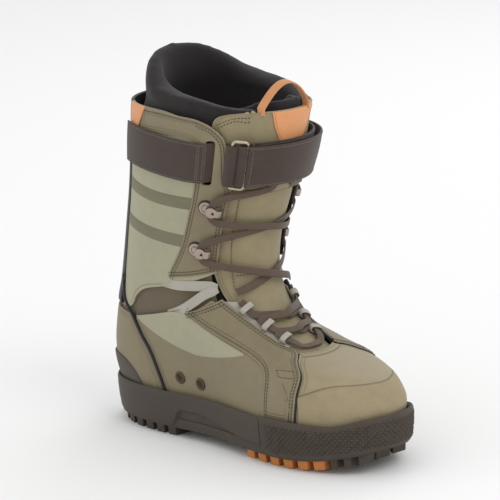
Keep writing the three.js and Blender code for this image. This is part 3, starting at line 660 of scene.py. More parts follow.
@dataclass(frozen=True)
class Finish:
    """What every finish shares: a name, a light and a dark tone."""

    name: str
    light: tuple
    dark: tuple
    rough: float = 0.6
    drift: float = 1.0

    def material(self) -> bpy.types.Material:
        """The material, made once for each name.

        Returns:
            The material.
        """
        title = f"{self.name}_finish"
        if title in bpy.data.materials:
            return bpy.data.materials[title]
        material = bpy.data.materials.new(title)
        material.use_nodes = True
        material.diffuse_color = self.light
        g = Graph(material.node_tree)
        shader = material.node_tree.nodes["Principled BSDF"]
        dye = g.add("ShaderNodeGroup", None, node_tree=tone_group())
        dye.inputs["Light"].default_value = self.light
        dye.inputs["Dark"].default_value = self.dark
        dye.inputs["Drift"].default_value = self.drift
        self.fill(g, shader, dye)
        return material

    def fill(self, g: Graph, shader: bpy.types.Node, dye: bpy.types.Node) -> None:
        """Wire the plain version: dye and a slightly uneven gloss."""
        g.tree.links.new(dye.outputs["Color"], shader.inputs["Base Color"])
        self.gloss(g, shader, dye.outputs["Mask"])
        self.bump(g, shader, g.noise(600, 3), 0.15)

    def gloss(self, g: Graph, shader: bpy.types.Node, mask: bpy.types.NodeSocket) -> None:
        """Let the roughness follow a mask a little."""
        g.tree.links.new(g.math("ADD", g.math("MULTIPLY", mask, 0.12), self.rough - 0.06),
                         shader.inputs["Roughness"])

    def bump(self, g: Graph, shader: bpy.types.Node, height: bpy.types.NodeSocket, strength: float,
             depth: float = 0.0004) -> None:
        """Raise the surface by a height."""
        node = g.add("ShaderNodeBump", {"Height": height, "Strength": strength, "Distance": depth})
        g.tree.links.new(node.outputs[0], shader.inputs["Normal"])


@dataclass(frozen=True)
class Leather(Finish):
    """Dyed leather with grain, sewn edges and worn rims."""

    grain: float = 900.0
    relief: float = 0.25
    sewn: bool = True
    rows: tuple[float, float] = (2.2, 4.6)

    def fill(self, g: Graph, shader: bpy.types.Node, dye: bpy.types.Node) -> None:
        """Wire dye, grain, edge wear, and thread dents painted darker as painted shade.

        Args:
            g: The graph.
            shader: The surface shader.
            dye: The node that gives the dyed colour.
        """
        grain = g.add("ShaderNodeGroup", None, node_tree=grain_group())
        grain.inputs["Scale"].default_value = self.grain
        colour = g.mix(g.math("MULTIPLY", g.math("SUBTRACT", 1.0, grain.outputs["Crease"]), 0.16),
                       dye.outputs["Color"], tuple(0.5 * v for v in self.dark[:3]) + (1.0,))
        height = g.math("MULTIPLY", grain.outputs["Height"], self.relief)
        if self.sewn:
            rim = g.add("ShaderNodeGroup", None, node_tree=rim_group())
            rim.inputs["Row"].default_value = self.rows[0]
            rim.inputs["Second"].default_value = self.rows[1]
            worn = tuple(min(1.0, 1.35 * v + 0.02) for v in self.light[:3]) + (1.0,)
            colour = g.mix(g.math("MULTIPLY", rim.outputs["Near"], 0.5), colour, worn)
            # Painted shade: the colour darkens along the thread dents, on top of the dents' bump.
            shade = tuple(0.45 * v for v in self.dark[:3]) + (1.0,)
            colour = g.mix(g.math("MULTIPLY", rim.outputs["Dent"], 0.38), colour, shade)
            height = g.math("SUBTRACT", height, g.math("MULTIPLY", rim.outputs["Dent"], 0.8))
        g.tree.links.new(colour, shader.inputs["Base Color"])
        self.gloss(g, shader, dye.outputs["Mask"])
        self.bump(g, shader, height, 0.6)
        shader.inputs["Specular IOR Level"].default_value = 0.35
        shader.inputs["Sheen Weight"].default_value = 0.05


@dataclass(frozen=True)
class Woven(Finish):
    """Webbing, tape or cord, woven along the piece."""

    along: float = 700.0
    across: float = 900.0
    step: float = 0.5
    relief: float = 0.8

    def fill(self, g: Graph, shader: bpy.types.Node, dye: bpy.types.Node) -> None:
        """Wire dye, yarns and a soft sheen.

        Args:
            g: The graph.
            shader: The surface shader.
            dye: The node that gives the dyed colour.
        """
        weave = g.add("ShaderNodeGroup", None, node_tree=weave_group())
        for key, value in (("Along", self.along), ("Across", self.across), ("Step", self.step)):
            weave.inputs[key].default_value = value
        under = tuple(0.4 * v for v in self.dark[:3]) + (1.0,)
        colour = g.mix(weave.outputs["Height"], under, dye.outputs["Color"])
        g.tree.links.new(g.mix(0.6, dye.outputs["Color"], colour), shader.inputs["Base Color"])
        self.gloss(g, shader, dye.outputs["Mask"])
        self.bump(g, shader, weave.outputs["Height"], self.relief, 0.0003)
        shader.inputs["Sheen Weight"].default_value = 0.15
        shader.inputs["Specular IOR Level"].default_value = 0.25


@dataclass(frozen=True)
class Fleece(Finish):
    """Brushed lining cloth over foam."""

    pile: float = 700.0

    def fill(self, g: Graph, shader: bpy.types.Node, dye: bpy.types.Node) -> None:
        """Wire dye, pile and lint.

        Args:
            g: The graph.
            shader: The surface shader.
            dye: The node that gives the dyed colour.
        """
        fuzz = g.add("ShaderNodeGroup", None, node_tree=fuzz_group())
        fuzz.inputs["Scale"].default_value = self.pile
        lint = tuple(min(1.0, 2.2 * v + 0.01) for v in self.light[:3]) + (1.0,)
        colour = g.mix(g.math("MULTIPLY", fuzz.outputs["Lint"], 0.5), dye.outputs["Color"], lint)
        g.tree.links.new(colour, shader.inputs["Base Color"])
        self.gloss(g, shader, dye.outputs["Mask"])
        self.bump(g, shader, fuzz.outputs["Height"], 0.5, 0.0005)
        shader.inputs["Sheen Weight"].default_value = 0.12
        shader.inputs["Sheen Roughness"].default_value = 0.6
        shader.inputs["Specular IOR Level"].default_value = 0.15


@dataclass(frozen=True)
class Rubber(Finish):
    """Moulded rubber or plastic: fine stipple, with pale scuffs and dust in random patches."""

    stipple: float = 1500.0
    dusty: float = 0.25

    def fill(self, g: Graph, shader: bpy.types.Node, dye: bpy.types.Node) -> None:
        """Wire dye, stipple and scuffs.

        Args:
            g: The graph.
            shader: The surface shader.
            dye: The node that gives the dyed colour.
        """
        scuff = g.math("GREATER_THAN", g.noise(75, 8), 0.62)
        pale = tuple(min(1.0, 1.3 * v + 0.02) for v in self.light[:3]) + (1.0,)
        colour = g.mix(g.math("MULTIPLY", g.math("MULTIPLY", scuff, g.noise(500, 2)), self.dusty),
                       dye.outputs["Color"], pale)
        g.tree.links.new(colour, shader.inputs["Base Color"])
        self.gloss(g, shader, dye.outputs["Mask"])
        self.bump(g, shader, g.noise(self.stipple, 2), 0.25, 0.0003)
        shader.inputs["Specular IOR Level"].default_value = 0.4


@dataclass(frozen=True)
class Metal(Finish):
    """Plated steel with handling marks."""

    def fill(self, g: Graph, shader: bpy.types.Node, dye: bpy.types.Node) -> None:
        """Wire the plating, its smears and fine scratches.

        Args:
            g: The graph.
            shader: The surface shader.
            dye: The node that gives the dyed colour.
        """
        place = g.add("ShaderNodeTexCoord").outputs["Object"]
        turned = g.add("ShaderNodeMapping", {"Vector": place, "Scale": (1, 1, 14)}).outputs[0]
        scratch = g.noise(420.0, 6.0, turned)
        g.tree.links.new(dye.outputs["Color"], shader.inputs["Base Color"])
        smear = g.math("MULTIPLY", g.math("ADD", scratch, dye.outputs["Mask"]), 0.14)
        g.tree.links.new(g.math("ADD", smear, self.rough - 0.14), shader.inputs["Roughness"])
        self.bump(g, shader, scratch, 0.12, 0.0001)
        shader.inputs["Metallic"].default_value = 1.0


def tones(name: str, kind: type, light: tuple[int, int, int], deep: float = 0.82, **more: object) -> Finish:
    """A finish from its light tone; the dark tone is a share of it."""
    first = paint(*light)
    second = tuple(v * deep for v in first[:3]) + (1.0,)
    return kind(name, first, second, **more)


def spun(name: str, light: tuple[int, int, int], deep: float = 0.8) -> Finish:
    """A spun sewing thread."""
    return tones(name, Woven, light, deep, rough=0.7, along=1500.0, across=1500.0)


OLIVE = tones("olive_leather", Leather, (138, 127, 100), 0.85, rough=0.58, relief=0.3)
# The toe's leather is the olive leather painted lighter: painted light for the light that falls on the front
# of the toe.
OLIVE_PAINTED_LIT_TOE = tones("toe_leather", Leather, (160, 147, 117), 0.86, rough=0.56, relief=0.3)
# The tongue's leather is the olive leather painted lighter: painted light for the light that falls on the
# front of the boot.
OLIVE_PAINTED_LIT_TONGUE = tones("tongue_leather", Leather, (152, 139, 108), 0.85, rough=0.6, relief=0.3)
# The toe cap is the olive leather painted lighter, as painted light on the toe; rows=(1.0, 1.0) lays a dent 1
# mm inside its edge that is also painted darker, a painted shade line where the cap meets the vamp.
TOE_CAP_PAINTED_LIGHT_AND_SHADE = tones("toe_cap_leather", Leather, (158, 144, 113), 0.84, rough=0.62, relief=0.7, grain=620.0,
                rows=(1.0, 1.0))
SAGE = tones("sage_leather", Leather, (168, 164, 138), 0.9, rough=0.55, relief=0.15, sewn=False)
BAND = tones("band_leather", Leather, (121, 116, 92), 0.88, rough=0.55, relief=0.25, sewn=False)
TRIM = tones("black_trim", Leather, (30, 27, 26), 0.7, rough=0.5, grain=1400.0, sewn=False)
TAB = tones("orange_leather", Leather, (228, 158, 106), 0.9, rough=0.5, relief=0.2, sewn=False)
WINDOW = tones("window_cloth", Woven, (120, 107, 86), 0.85, rough=0.75, along=900.0, across=1100.0)
STRAP = tones("strap_twill", Woven, (82, 68, 60), 0.72, rough=0.7, along=420.0, across=620.0, relief=0.9)
CORD = tones("lace_braid", Woven, (106, 89, 76), 0.82, rough=0.7, along=380.0, across=700.0, step=0.5)
TAPE = tones("orange_tape", Woven, (226, 158, 106), 0.88, rough=0.65, along=800.0, across=1000.0, relief=0.6)
PALE = tones("pale_webbing", Woven, (190, 184, 172), 0.9, rough=0.7, along=900.0, across=1100.0, relief=0.5)
LINING = tones("liner_fleece", Fleece, (40, 35, 36), 0.75, rough=0.85)
INSOLE = tones("insole_cloth", Fleece, (72, 68, 66), 0.8, rough=0.85, pile=1200.0)
SOLE = tones("sole_rubber", Rubber, (70, 61, 52), 0.82, rough=0.6)
HEEL = tones("heel_rubber", Rubber, (80, 74, 66), 0.85, rough=0.65)
GUM = tones("gum_rubber", Rubber, (196, 122, 58), 0.82, rough=0.5)
STEEL = tones("hook_plate", Metal, (176, 160, 148), 0.85, rough=0.36)
RING = tones("ring_wire", Metal, (186, 176, 152), 0.85, rough=0.3)
EYELET = tones("vent_rim", Metal, (104, 92, 74), 0.7, rough=0.45)
DARK = tones("vent_mesh", Woven, (34, 32, 30), 0.6, rough=0.8, along=900.0, across=900.0, step=0.5)
THREAD = spun("olive_thread", (84, 75, 54), 0.7)
PALE_THREAD = spun("sand_thread", (150, 137, 106))
GREY_THREAD = spun("grey_thread", (146, 137, 128))
RUST_THREAD = spun("rust_thread", (178, 112, 66))
FOAM = tones("white_foam", Rubber, (222, 216, 204), 0.92, rough=0.85)
GEL = tones("amber_gel", Rubber, (214, 150, 70), 0.85, rough=0.35)
BOARD = tones("fibre_board", Fleece, (160, 148, 124), 0.85, rough=0.9, pile=300.0)
PLASTIC = tones("black_plastic", Rubber, (44, 44, 45), 0.8, rough=0.55)


# ---- sewing -------------------------------------------------------------------------------------
@dataclass
class Panel:
    """A piece of hide or cloth ruled between two chains of places on the last."""

    name: str
    first: Chain
    second: Chain
    side: Optional[Side] = None
    lift: float = 0.0
    thick: float = 2.0
    corners: tuple[tuple[int, ...], tuple[int, ...]] = ((), ())
    cell: float = 2.6
    puff: float = 0.0
    drop: float = 0.0
    shape: Optional[Callable[[np.ndarray, np.ndarray], np.ndarray]] = None
    edge: float = 0.45
    size: tuple[int, int] = field(default=(0, 0), init=False)

    def ends(self, t: np.ndarray) -> tuple[np.ndarray, np.ndarray]:
        """The places on both chains at readings t."""
        sign = self.side.value if self.side else 1
        a = follow(self.first, t, self.corners[0]) * (1, sign)
        b = follow(self.second, t, self.corners[1]) * (1, sign)
        return a, b

    def build(self) -> bpy.types.Object:
        """Cut the piece, lay it on the last and give it thickness and rounded edges.

        Returns:
            The finished sheet or solid.
        """
        fine = np.linspace(0, len(self.first) - 1, 500)
        a, b = self.ends(fine)
        pa, pb = LAST.bare(*a.T), LAST.bare(*b.T)
        mid = LAST.bare(*((a + b) / 2).T)
        steps = (np.linalg.norm(np.diff(pa, axis=0), axis=1) + np.linalg.norm(np.diff(pb, axis=0), axis=1)
                 + np.linalg.norm(np.diff(mid, axis=0), axis=1)) / 3
        run = np.concatenate([[0], np.cumsum(steps + 1e-9)])
        share = np.linspace(0, 1, 9)[:, None, None]
        ladder = a + (b - a) * share
        rungs = np.array([LAST.bare(*row.T) for row in ladder])
        wide = np.linalg.norm(np.diff(rungs, axis=0), axis=2).sum(0)
        rows = int(np.clip(run[-1] / self.cell, 4, 400))
        cols = int(np.clip(wide.max() / self.cell, 3, 300))
        self.size = (rows, cols)
        piece, s, q = Bench.grid(self.name, rows, cols)
        t = np.interp(s * run[-1], run, fine)
        a, b = self.ends(t)
        place = a + (b - a) * q[:, None]
        width = np.interp(t, fine, wide)
        rim = np.minimum.reduce([q * width, (1 - q) * width, s * run[-1], (1 - s) * run[-1]])
        lift = self.lift + self.puff * (1 - np.exp(-rim / 5)) - self.drop * np.exp(-rim / 1.2)
        if self.shape:
            lift = lift + self.shape(place[:, 0], place[:, 1])
        Bench.set_points(piece, LAST.skin(place[:, 0], place[:, 1], lift))
        Bench.uv(piece, "UVMap", np.stack([s * run[-1], q * width], 1) * MM)
        Bench.uv(piece, "rim", np.stack([rim, rim], 1) * MM)
        Bench.face_out(piece, LAST.normal(place[:, 0], place[:, 1]))
        if self.thick:
            Bench.thicken(piece, self.thick, self.edge)
        return piece


@dataclass
class Stitching:
    """Rows of thread along a sewing line."""

    pitch: float = 2.7
    length: float = 1.9
    wide: float = 0.75
    high: float = 0.5
    slant: float = 0.12

    def stitch(self) -> tuple[np.ndarray, list]:
        """The points and faces of one stitch, made from a sphere.

        Returns:
            The stitch's points and faces.
        """
        Bench.clear()
        bpy.ops.mesh.primitive_uv_sphere_add(segments=6, ring_count=4, radius=0.5)
        one = bpy.context.object
        Bench.edit(one, lambda: bpy.ops.transform.resize(value=(self.wide, self.high, self.length)))
        co = Bench.points(one)[:, [2, 0, 1]] * MM
        faces = [tuple(p.vertices) for p in one.data.polygons]
        bpy.data.objects.remove(one, do_unlink=True)
        return co, faces

    def sew(self, name: str, lines: Sequence[tuple[Chain, float, float]], side: Optional[Side] = None,
            corners: Sequence[Sequence[int]] = ()) -> bpy.types.Object:
        """Sew rows of stitches.

        Args:
            name: The piece's name.
            lines: For each row its chain, its distance from that chain in millimetres, and its lift.
            side: The side it is on, if the chains are for either side.
            corners: For each row, the numbers of its sharp corners.

        Returns:
            One mesh with every stitch.
        """
        sign = side.value if side else 1
        centres, frames = [], []
        for number, (chain, inset, lift) in enumerate(lines):
            turn = corners[number] if number < len(corners) else ()
            fine = np.linspace(0, len(chain) - 1, 60 * len(chain))
            u, a = (follow(chain, fine, turn) * (1, sign)).T
            if inset:
                ahead = unit(np.gradient(LAST.bare(u, a), axis=0))
                u, a = LAST.shift(u, a, np.cross(LAST.normal(u, a), ahead) * inset * sign)
            out = LAST.normal(u, a)
            here, turned = self.stops(LAST.bare(u, a) + out * lift, out)
            centres.append(here)
            frames.append(turned)
        return self.lay(name, np.concatenate(centres), np.concatenate(frames))

    def stops(self, line: np.ndarray, out: np.ndarray) -> tuple[np.ndarray, np.ndarray]:
        """Where the stitches of one row go.

        Args:
            line: The row's fine line, in millimetres from the heel.
            out: The outward direction at each point.

        Returns:
            Middles, and each stitch's along, across and out directions as columns.
        """
        run = walked(line)
        count = max(2, int(run[-1] / self.pitch))
        stops = (np.arange(count) + 0.5) / count * run[-1]
        index = np.interp(stops, run, np.arange(len(run)))
        whole = np.clip(index.astype(int), 1, len(run) - 2)
        here = np.stack([np.interp(stops, run, line[:, k]) for k in range(3)], 1)
        ahead = unit(line[whole + 1] - line[whole - 1])
        out = out[whole]
        ahead = unit(ahead + np.cross(out, ahead) * self.slant)
        over = unit(np.cross(out, ahead))
        return here, np.stack([ahead, over, np.cross(ahead, over)], 2)

    def lay(self, name: str, centres: np.ndarray, frames: np.ndarray) -> bpy.types.Object:
        """Copy the one stitch to every place.

        Args:
            name: The piece's name.
            centres: Middles in millimetres from the heel.
            frames: Each stitch's along, across and out directions, as columns.

        Returns:
            One mesh with every stitch.
        """
        co, faces = self.stitch()
        every = np.einsum("nij,kj->nki", frames, co) + ((centres - ORIGIN) * MM)[:, None, :]
        mesh = bpy.data.meshes.new(name)
        all_faces = [tuple(v + i * len(co) for v in f) for i in range(len(centres)) for f in faces]
        mesh.from_pydata(every.reshape(-1, 3).tolist(), [], all_faces)
        piece = bpy.data.objects.new(name, mesh)
        bpy.context.collection.objects.link(piece)
        mesh.uv_layers.new(name="UVMap")
        Bench.edit(piece, lambda: bpy.ops.mesh.normals_make_consistent(inside=False))
        Bench.soften(piece, 60)
        return piece


STITCH = Stitching()
FINE_STITCH = Stitching(pitch=2.1, length=1.5, wide=0.6, high=0.4)
ROWS = (2.2, 4.6)


def rows(chain: Chain, lift: float, sign: int = 1, distances: Sequence[float] = ROWS) -> list:
    """Rows of thread at set distances from an edge."""
    return [(chain, sign * d, lift) for d in distances]


@dataclass
class Band:
    """A flat strap, lace or tape swept along points with its own width direction."""

    name: str
    width: float
    thick: float
    square: float = 5.0
    around: int = 20

    def sweep(self, centre: np.ndarray, out: np.ndarray, closed: bool = False,
              width: Optional[np.ndarray] = None) -> bpy.types.Object:
        """Sweep the section along a line.

        Args:
            centre: Points in metres.
            out: The direction that the flat face looks in, at each point.
            closed: Whether the line joins its own start.
            width: The width at each point, in millimetres, if it changes.

        Returns:
            The solid.
        """
        if closed:
            ahead = np.roll(centre, -1, 0) - np.roll(centre, 1, 0)
        else:
            ahead = np.gradient(centre, axis=0)
        ahead = unit(ahead)
        out = unit(out - (out * ahead).sum(1)[:, None] * ahead)
        across = np.cross(ahead, out)
        angle = np.linspace(0, 2 * np.pi, self.around, endpoint=False)
        c, s = np.cos(angle), np.sin(angle)
        w = np.sign(c) * np.abs(c) ** (2 / self.square)
        h = np.sign(s) * np.abs(s) ** (2 / 2.6)
        half = (width if width is not None else np.full(len(centre), self.width)) / 2 * MM
        sections = (centre[:, None] + across[:, None] * (w[None] * half[:, None])[..., None]
                    + out[:, None] * (h * self.thick / 2 * MM)[None, :, None])
        return Bench.tube(self.name, sections, closed)


def even(points: np.ndarray, step: float, *others: np.ndarray) -> list[np.ndarray]:
    """Resample a fine line, and what goes with it, at even steps.

    Args:
        points: The line, in metres.
        step: The step, in millimetres.
        others: Arrays with a row for each point.

    Returns:
        The new line, then the others.
    """
    run = walked(points)
    stops = np.linspace(0, run[-1], max(3, int(run[-1] / (step * MM)) + 1))
    def read(values: np.ndarray) -> np.ndarray:
        """One array at the stops."""
        return np.stack([np.interp(stops, run, values[:, k]) for k in range(values.shape[1])], 1)
    return [read(points), *[read(o) for o in others]]


# ---- sole ---------------------------------------------------------------------------------------
@dataclass
class Sole:
    """Cupsole: rear wall with its arch window, waffled toe bumper, base and two treads of lugs."""

    bumper_at: float = 0.388
    flare: float = 1.3
    tread: float = 8.0
    waffle: float = 4.4
    height: float = 39.0

    @staticmethod
    def outline(a: np.ndarray, grow: np.ndarray) -> np.ndarray:
        """Points round the sole's outline in millimetres, pushed outwards by grow; their height is 0.

        Args:
            a: Places round the sole.
            grow: How far out of the outline.

        Returns:
            One point per row.
        """
        a = np.asarray(a, float)
        flat = LAST.bare(np.zeros_like(a), a)
        run = LAST.bare(np.zeros_like(a), a + 0.004) - LAST.bare(np.zeros_like(a), a - 0.004)
        out = np.stack([run[:, 1], -run[:, 0], np.zeros(len(a))], 1)
        out = unit(out)
        flat = flat + out * np.broadcast_to(grow, a.shape)[:, None]
        flat[:, 2] = 0
        return flat

    def wall(self, name: str, a0: float, a1: float, low: Callable, high: Callable,
             profile: Sequence[tuple[float, float]], relief: Callable, cell: float) -> bpy.types.Object:
        """A wall that stands round the outline.

        Args:
            name: The piece's name.
            a0: Where it starts.
            a1: Where it ends.
            low: Its lower edge's height at each x.
            high: Its upper edge's height at each x.
            profile: Shares of the height with how far the wall stands out there.
            relief: Extra push outwards from x, run along the wall, height and share of height.
            cell: Size of its faces.

        Returns:
            The wall with its thickness.
        """
        fine = np.linspace(a0, a1, 800)
        line = self.outline(fine, 4.0)
        run = walked(line)
        tall = float(high(150.0) - low(150.0))
        piece, s, q = Bench.grid(name, int(run[-1] / cell), int(tall / cell) + 2)
        a = np.interp(s * run[-1], run, fine)
        x = self.outline(a, 0)[:, 0]
        z = low(x) + (high(x) - low(x)) * q
        shares, grows = np.array(profile).T
        grow = np.interp(q, shares, grows) + self.flare * q**2
        co = self.outline(a, grow + relief(x, s * run[-1], z, q))
        co[:, 2] = z
        Bench.set_points(piece, (co - ORIGIN) * MM)
        Bench.uv(piece, "UVMap", np.stack([s * run[-1], z], 1) * MM)
        centre = np.array([150.0, -4.0, 0.0])
        Bench.face_out(piece, (co - centre) * (1, 1, 0))
        Bench.thicken(piece, 3.6, 0.6)
        return piece

    def arch(self, x: np.ndarray, run: np.ndarray, z: np.ndarray, q: np.ndarray) -> np.ndarray:
        """The window sunk into the rear wall under the arch of the foot."""
        line = 10 + 15 * smooth(x, 84, 97) * (1 - 0.6 * smooth(x, 112, 182))
        inside = smooth(line - z, -0.4, 1.4) * smooth(x, 82, 86)
        ridge = np.exp(-(((z - line - 1.5) / 1.1) ** 2)) * smooth(x, 84, 92)
        seam = np.exp(-(((z - 33.5) / 0.9) ** 2))
        return -2.4 * inside + 0.5 * ridge - 0.5 * seam

    def diamonds(self, x: np.ndarray, run: np.ndarray, z: np.ndarray, q: np.ndarray) -> np.ndarray:
        """The bumper's waffle of raised diamonds, fading out at its rear ends and under its lip."""
        one = np.abs(np.sin(np.pi * (run + z) / self.waffle))
        two = np.abs(np.sin(np.pi * (run - z) / self.waffle))
        field_ = smooth(q, 0.06, 0.14) * (1 - smooth(q, 0.80, 0.88)) * smooth(x, 196, 216)
        return 1.9 * np.minimum(one, two) * field_ - 1.1 * field_

    def base(self) -> bpy.types.Object:
        """The flat bottom that closes the cup.

        Returns:
            The base.
        """
        piece, s, q = Bench.grid("sole_base", 90, 20)
        share = 0.015 + 0.97 * s
        m, l = self.outline(-share, 2.2), self.outline(share, 2.2)
        co = m + (l - m) * q[:, None]
        co[:, 2] = self.tread + 0.35 + spring(co[:, 0])
        Bench.set_points(piece, (co - ORIGIN) * MM)
        Bench.uv(piece, "UVMap", co[:, :2] * MM)
        Bench.face_out(piece, np.tile([0.0, 0.0, -1.0], (len(co), 1)))
        Bench.thicken(piece, 8, 0.8)
        return piece

    def lugs(self, name: str, start: float, stop: float, pitch: float, lanes: Sequence[tuple[float, float]],
             sweep: float) -> bpy.types.Object:
        """Rows of tread blocks.

        Args:
            name: The piece's name.
            start: Where the rows begin, in millimetres from the heel.
            stop: Where they end.
            pitch: From one row to the next.
            lanes: Each block's reach across, from -1 to 1.
            sweep: How far the rows bow forwards at their ends.

        Returns:
            All blocks as one mesh.
        """
        share = np.linspace(0.02, 0.98, 400)
        m, l = self.outline(-share, -0.8), self.outline(share, -0.8)
        blocks = []
        x = start
        while x + pitch - 4 <= stop + 1:
            for w0, w1 in lanes:
                Bench.clear()
                bpy.ops.mesh.primitive_cube_add(size=2)
                block = bpy.context.object
                Bench.edit(block, lambda: bpy.ops.mesh.subdivide(number_cuts=3))
                c = (Bench.points(block) + 1) / 2
                down = 1 - c[:, 2]
                across = w0 + (w1 - w0) * c[:, 1]
                across = across + (0.5 * (w0 + w1) - across) * 0.08 * down
                long = x + 0.6 * down + (pitch - 4.4 - 1.2 * down) * c[:, 0] + sweep * np.abs(across) ** 1.5
                order = np.argsort(m[:, 0])
                ym = np.interp(long, m[order, 0], m[order, 1])
                yl = np.interp(long, l[order, 0], l[order, 1])
                y = (ym + yl) / 2 + (yl - ym) / 2 * across
                z = spring(long) + (self.tread + 0.6) * c[:, 2]
                Bench.set_points(block, (np.stack([long, y, z], 1) - ORIGIN) * MM)
                blocks.append(block)
            x += pitch
        piece = Bench.join(name, blocks)
        Bench.edit(piece, lambda: bpy.ops.mesh.normals_make_consistent(inside=False))
        Bench.modify(piece, "BEVEL", width=0.8 * MM, segments=2, limit_method="ANGLE",
                     angle_limit=math.radians(50))
        Bench.soften(piece, 35)
        return piece

    def build(self) -> None:
        """Make and dress the whole sole."""
        def bottom(x: np.ndarray) -> np.ndarray:
            """The rear wall's lower edge."""
            return self.tread + 0.5 + spring(x)
        def top(x: np.ndarray) -> np.ndarray:
            """The rear wall's upper edge."""
            return self.height + 0.4 * spring(x)
        rear = [(0, 1.6), (0.08, 3.2), (0.4, 4.4), (0.8, 4.6), (0.93, 4.2), (1, 3.0)]
        edge = self.bumper_at + 0.004
        wall = self.wall("rear_wall", edge, 2 - edge, bottom, top, rear, self.arch, 1.7)
        base = self.base()
        outsole = Bench.join("cupsole_wall_and_base", [wall, base])
        Bench.dress(outsole, SOLE, Body.LOWER, ["outsole"], "outsole_rubber")
        front = [(0, 3.2), (0.08, 4.6), (0.5, 5.6), (0.86, 5.4), (0.95, 4.9), (1, 3.6)]
        bumper = self.wall("waffled_toe_bumper", -self.bumper_at, self.bumper_at,
                           lambda x: 10 + spring(x), lambda x: 41 + 8 * smooth(x, 262, 302),
                           front, self.diamonds, 0.95)
        Bench.dress(bumper, SOLE, Body.LOWER, ["toe_bumper"], "outsole_rubber")
        heel = self.lugs("heel_lugs", -6, 92, 14, [(-1, -0.36), (-0.28, 0.28), (0.36, 1)], -3)
        Bench.dress(heel, SOLE, Body.LOWER, ["heel_tread"], "outsole_rubber")
        fore = self.lugs("forefoot_lugs", 170, 260, 15, [(-1, -0.4), (-0.32, 0.32), (0.4, 1)], 4)
        Bench.dress(fore, GUM, Body.LOWER, ["forefoot_tread"], "tread_rubber")
        tip = self.lugs("toe_lugs", 260, 290, 10, [(-1, -0.4), (-0.32, 0.32), (0.4, 1)], 4)
        Bench.dress(tip, SOLE, Body.LOWER)


# ---- lower shell ----------------------------------------------------------------------------------
VAMP_EDGE = [(FEATHER, 0.312), (0.0, 0.312), (0.08, 0.305), (0.18, 0.256), (0.27, 0.196), (0.335, 0.125)]
QUARTER_LOW = [(FEATHER, 0.652), (FEATHER, 0.55), (FEATHER, 0.43), (FEATHER, 0.32),
               (0.08, 0.319), (0.28, 0.192), (0.318, 0.158)]
QUARTER_TOP = [(0.345, 0.695), (0.43, 0.53), (0.462, 0.44), (0.528, 0.315),
               (0.49, 0.258), (0.405, 0.186), (0.348, 0.155)]
HEEL_SEAM = [(FEATHER, 0.66), (0.01, 0.66), (0.16, 0.675), (0.355, 0.705)]
EYESTAY_IN = [(0.535, 0.27), (0.495, 0.22), (0.445, 0.176), (0.39, 0.146), (0.345, 0.125),
              (0.28, 0.187), (0.20, 0.242), (0.12, 0.288), (0.06, 0.306), (-0.01, 0.310)]
EYESTAY_OUT = [(0.465, 0.445), (0.43, 0.405), (0.385, 0.362), (0.325, 0.337), (0.28, 0.33),
               (0.24, 0.333), (0.19, 0.348), (0.12, 0.372), (0.06, 0.386), (-0.01, 0.39)]
SAGE_TOP = [(0.358, 0.69), (0.405, 0.60), (0.445, 0.52), (0.458, 0.46), (0.425, 0.408), (0.365, 0.36),
            (0.30, 0.340)]
SAGE_LOW = [(0.345, 0.683), (0.302, 0.650), (0.245, 0.605), (0.202, 0.56), (0.190, 0.525), (0.222, 0.45),
            (0.285, 0.345)]


def flip(chain: Chain) -> list[tuple[float, float]]:
    """The same chain on the other side of the front."""
    return [(u, -a) for u, a in chain]


def round_back(chain: Chain) -> list[tuple[float, float]]:
    """The same chain on the other side of the back."""
    return [(u, 2 - a) for u, a in chain]


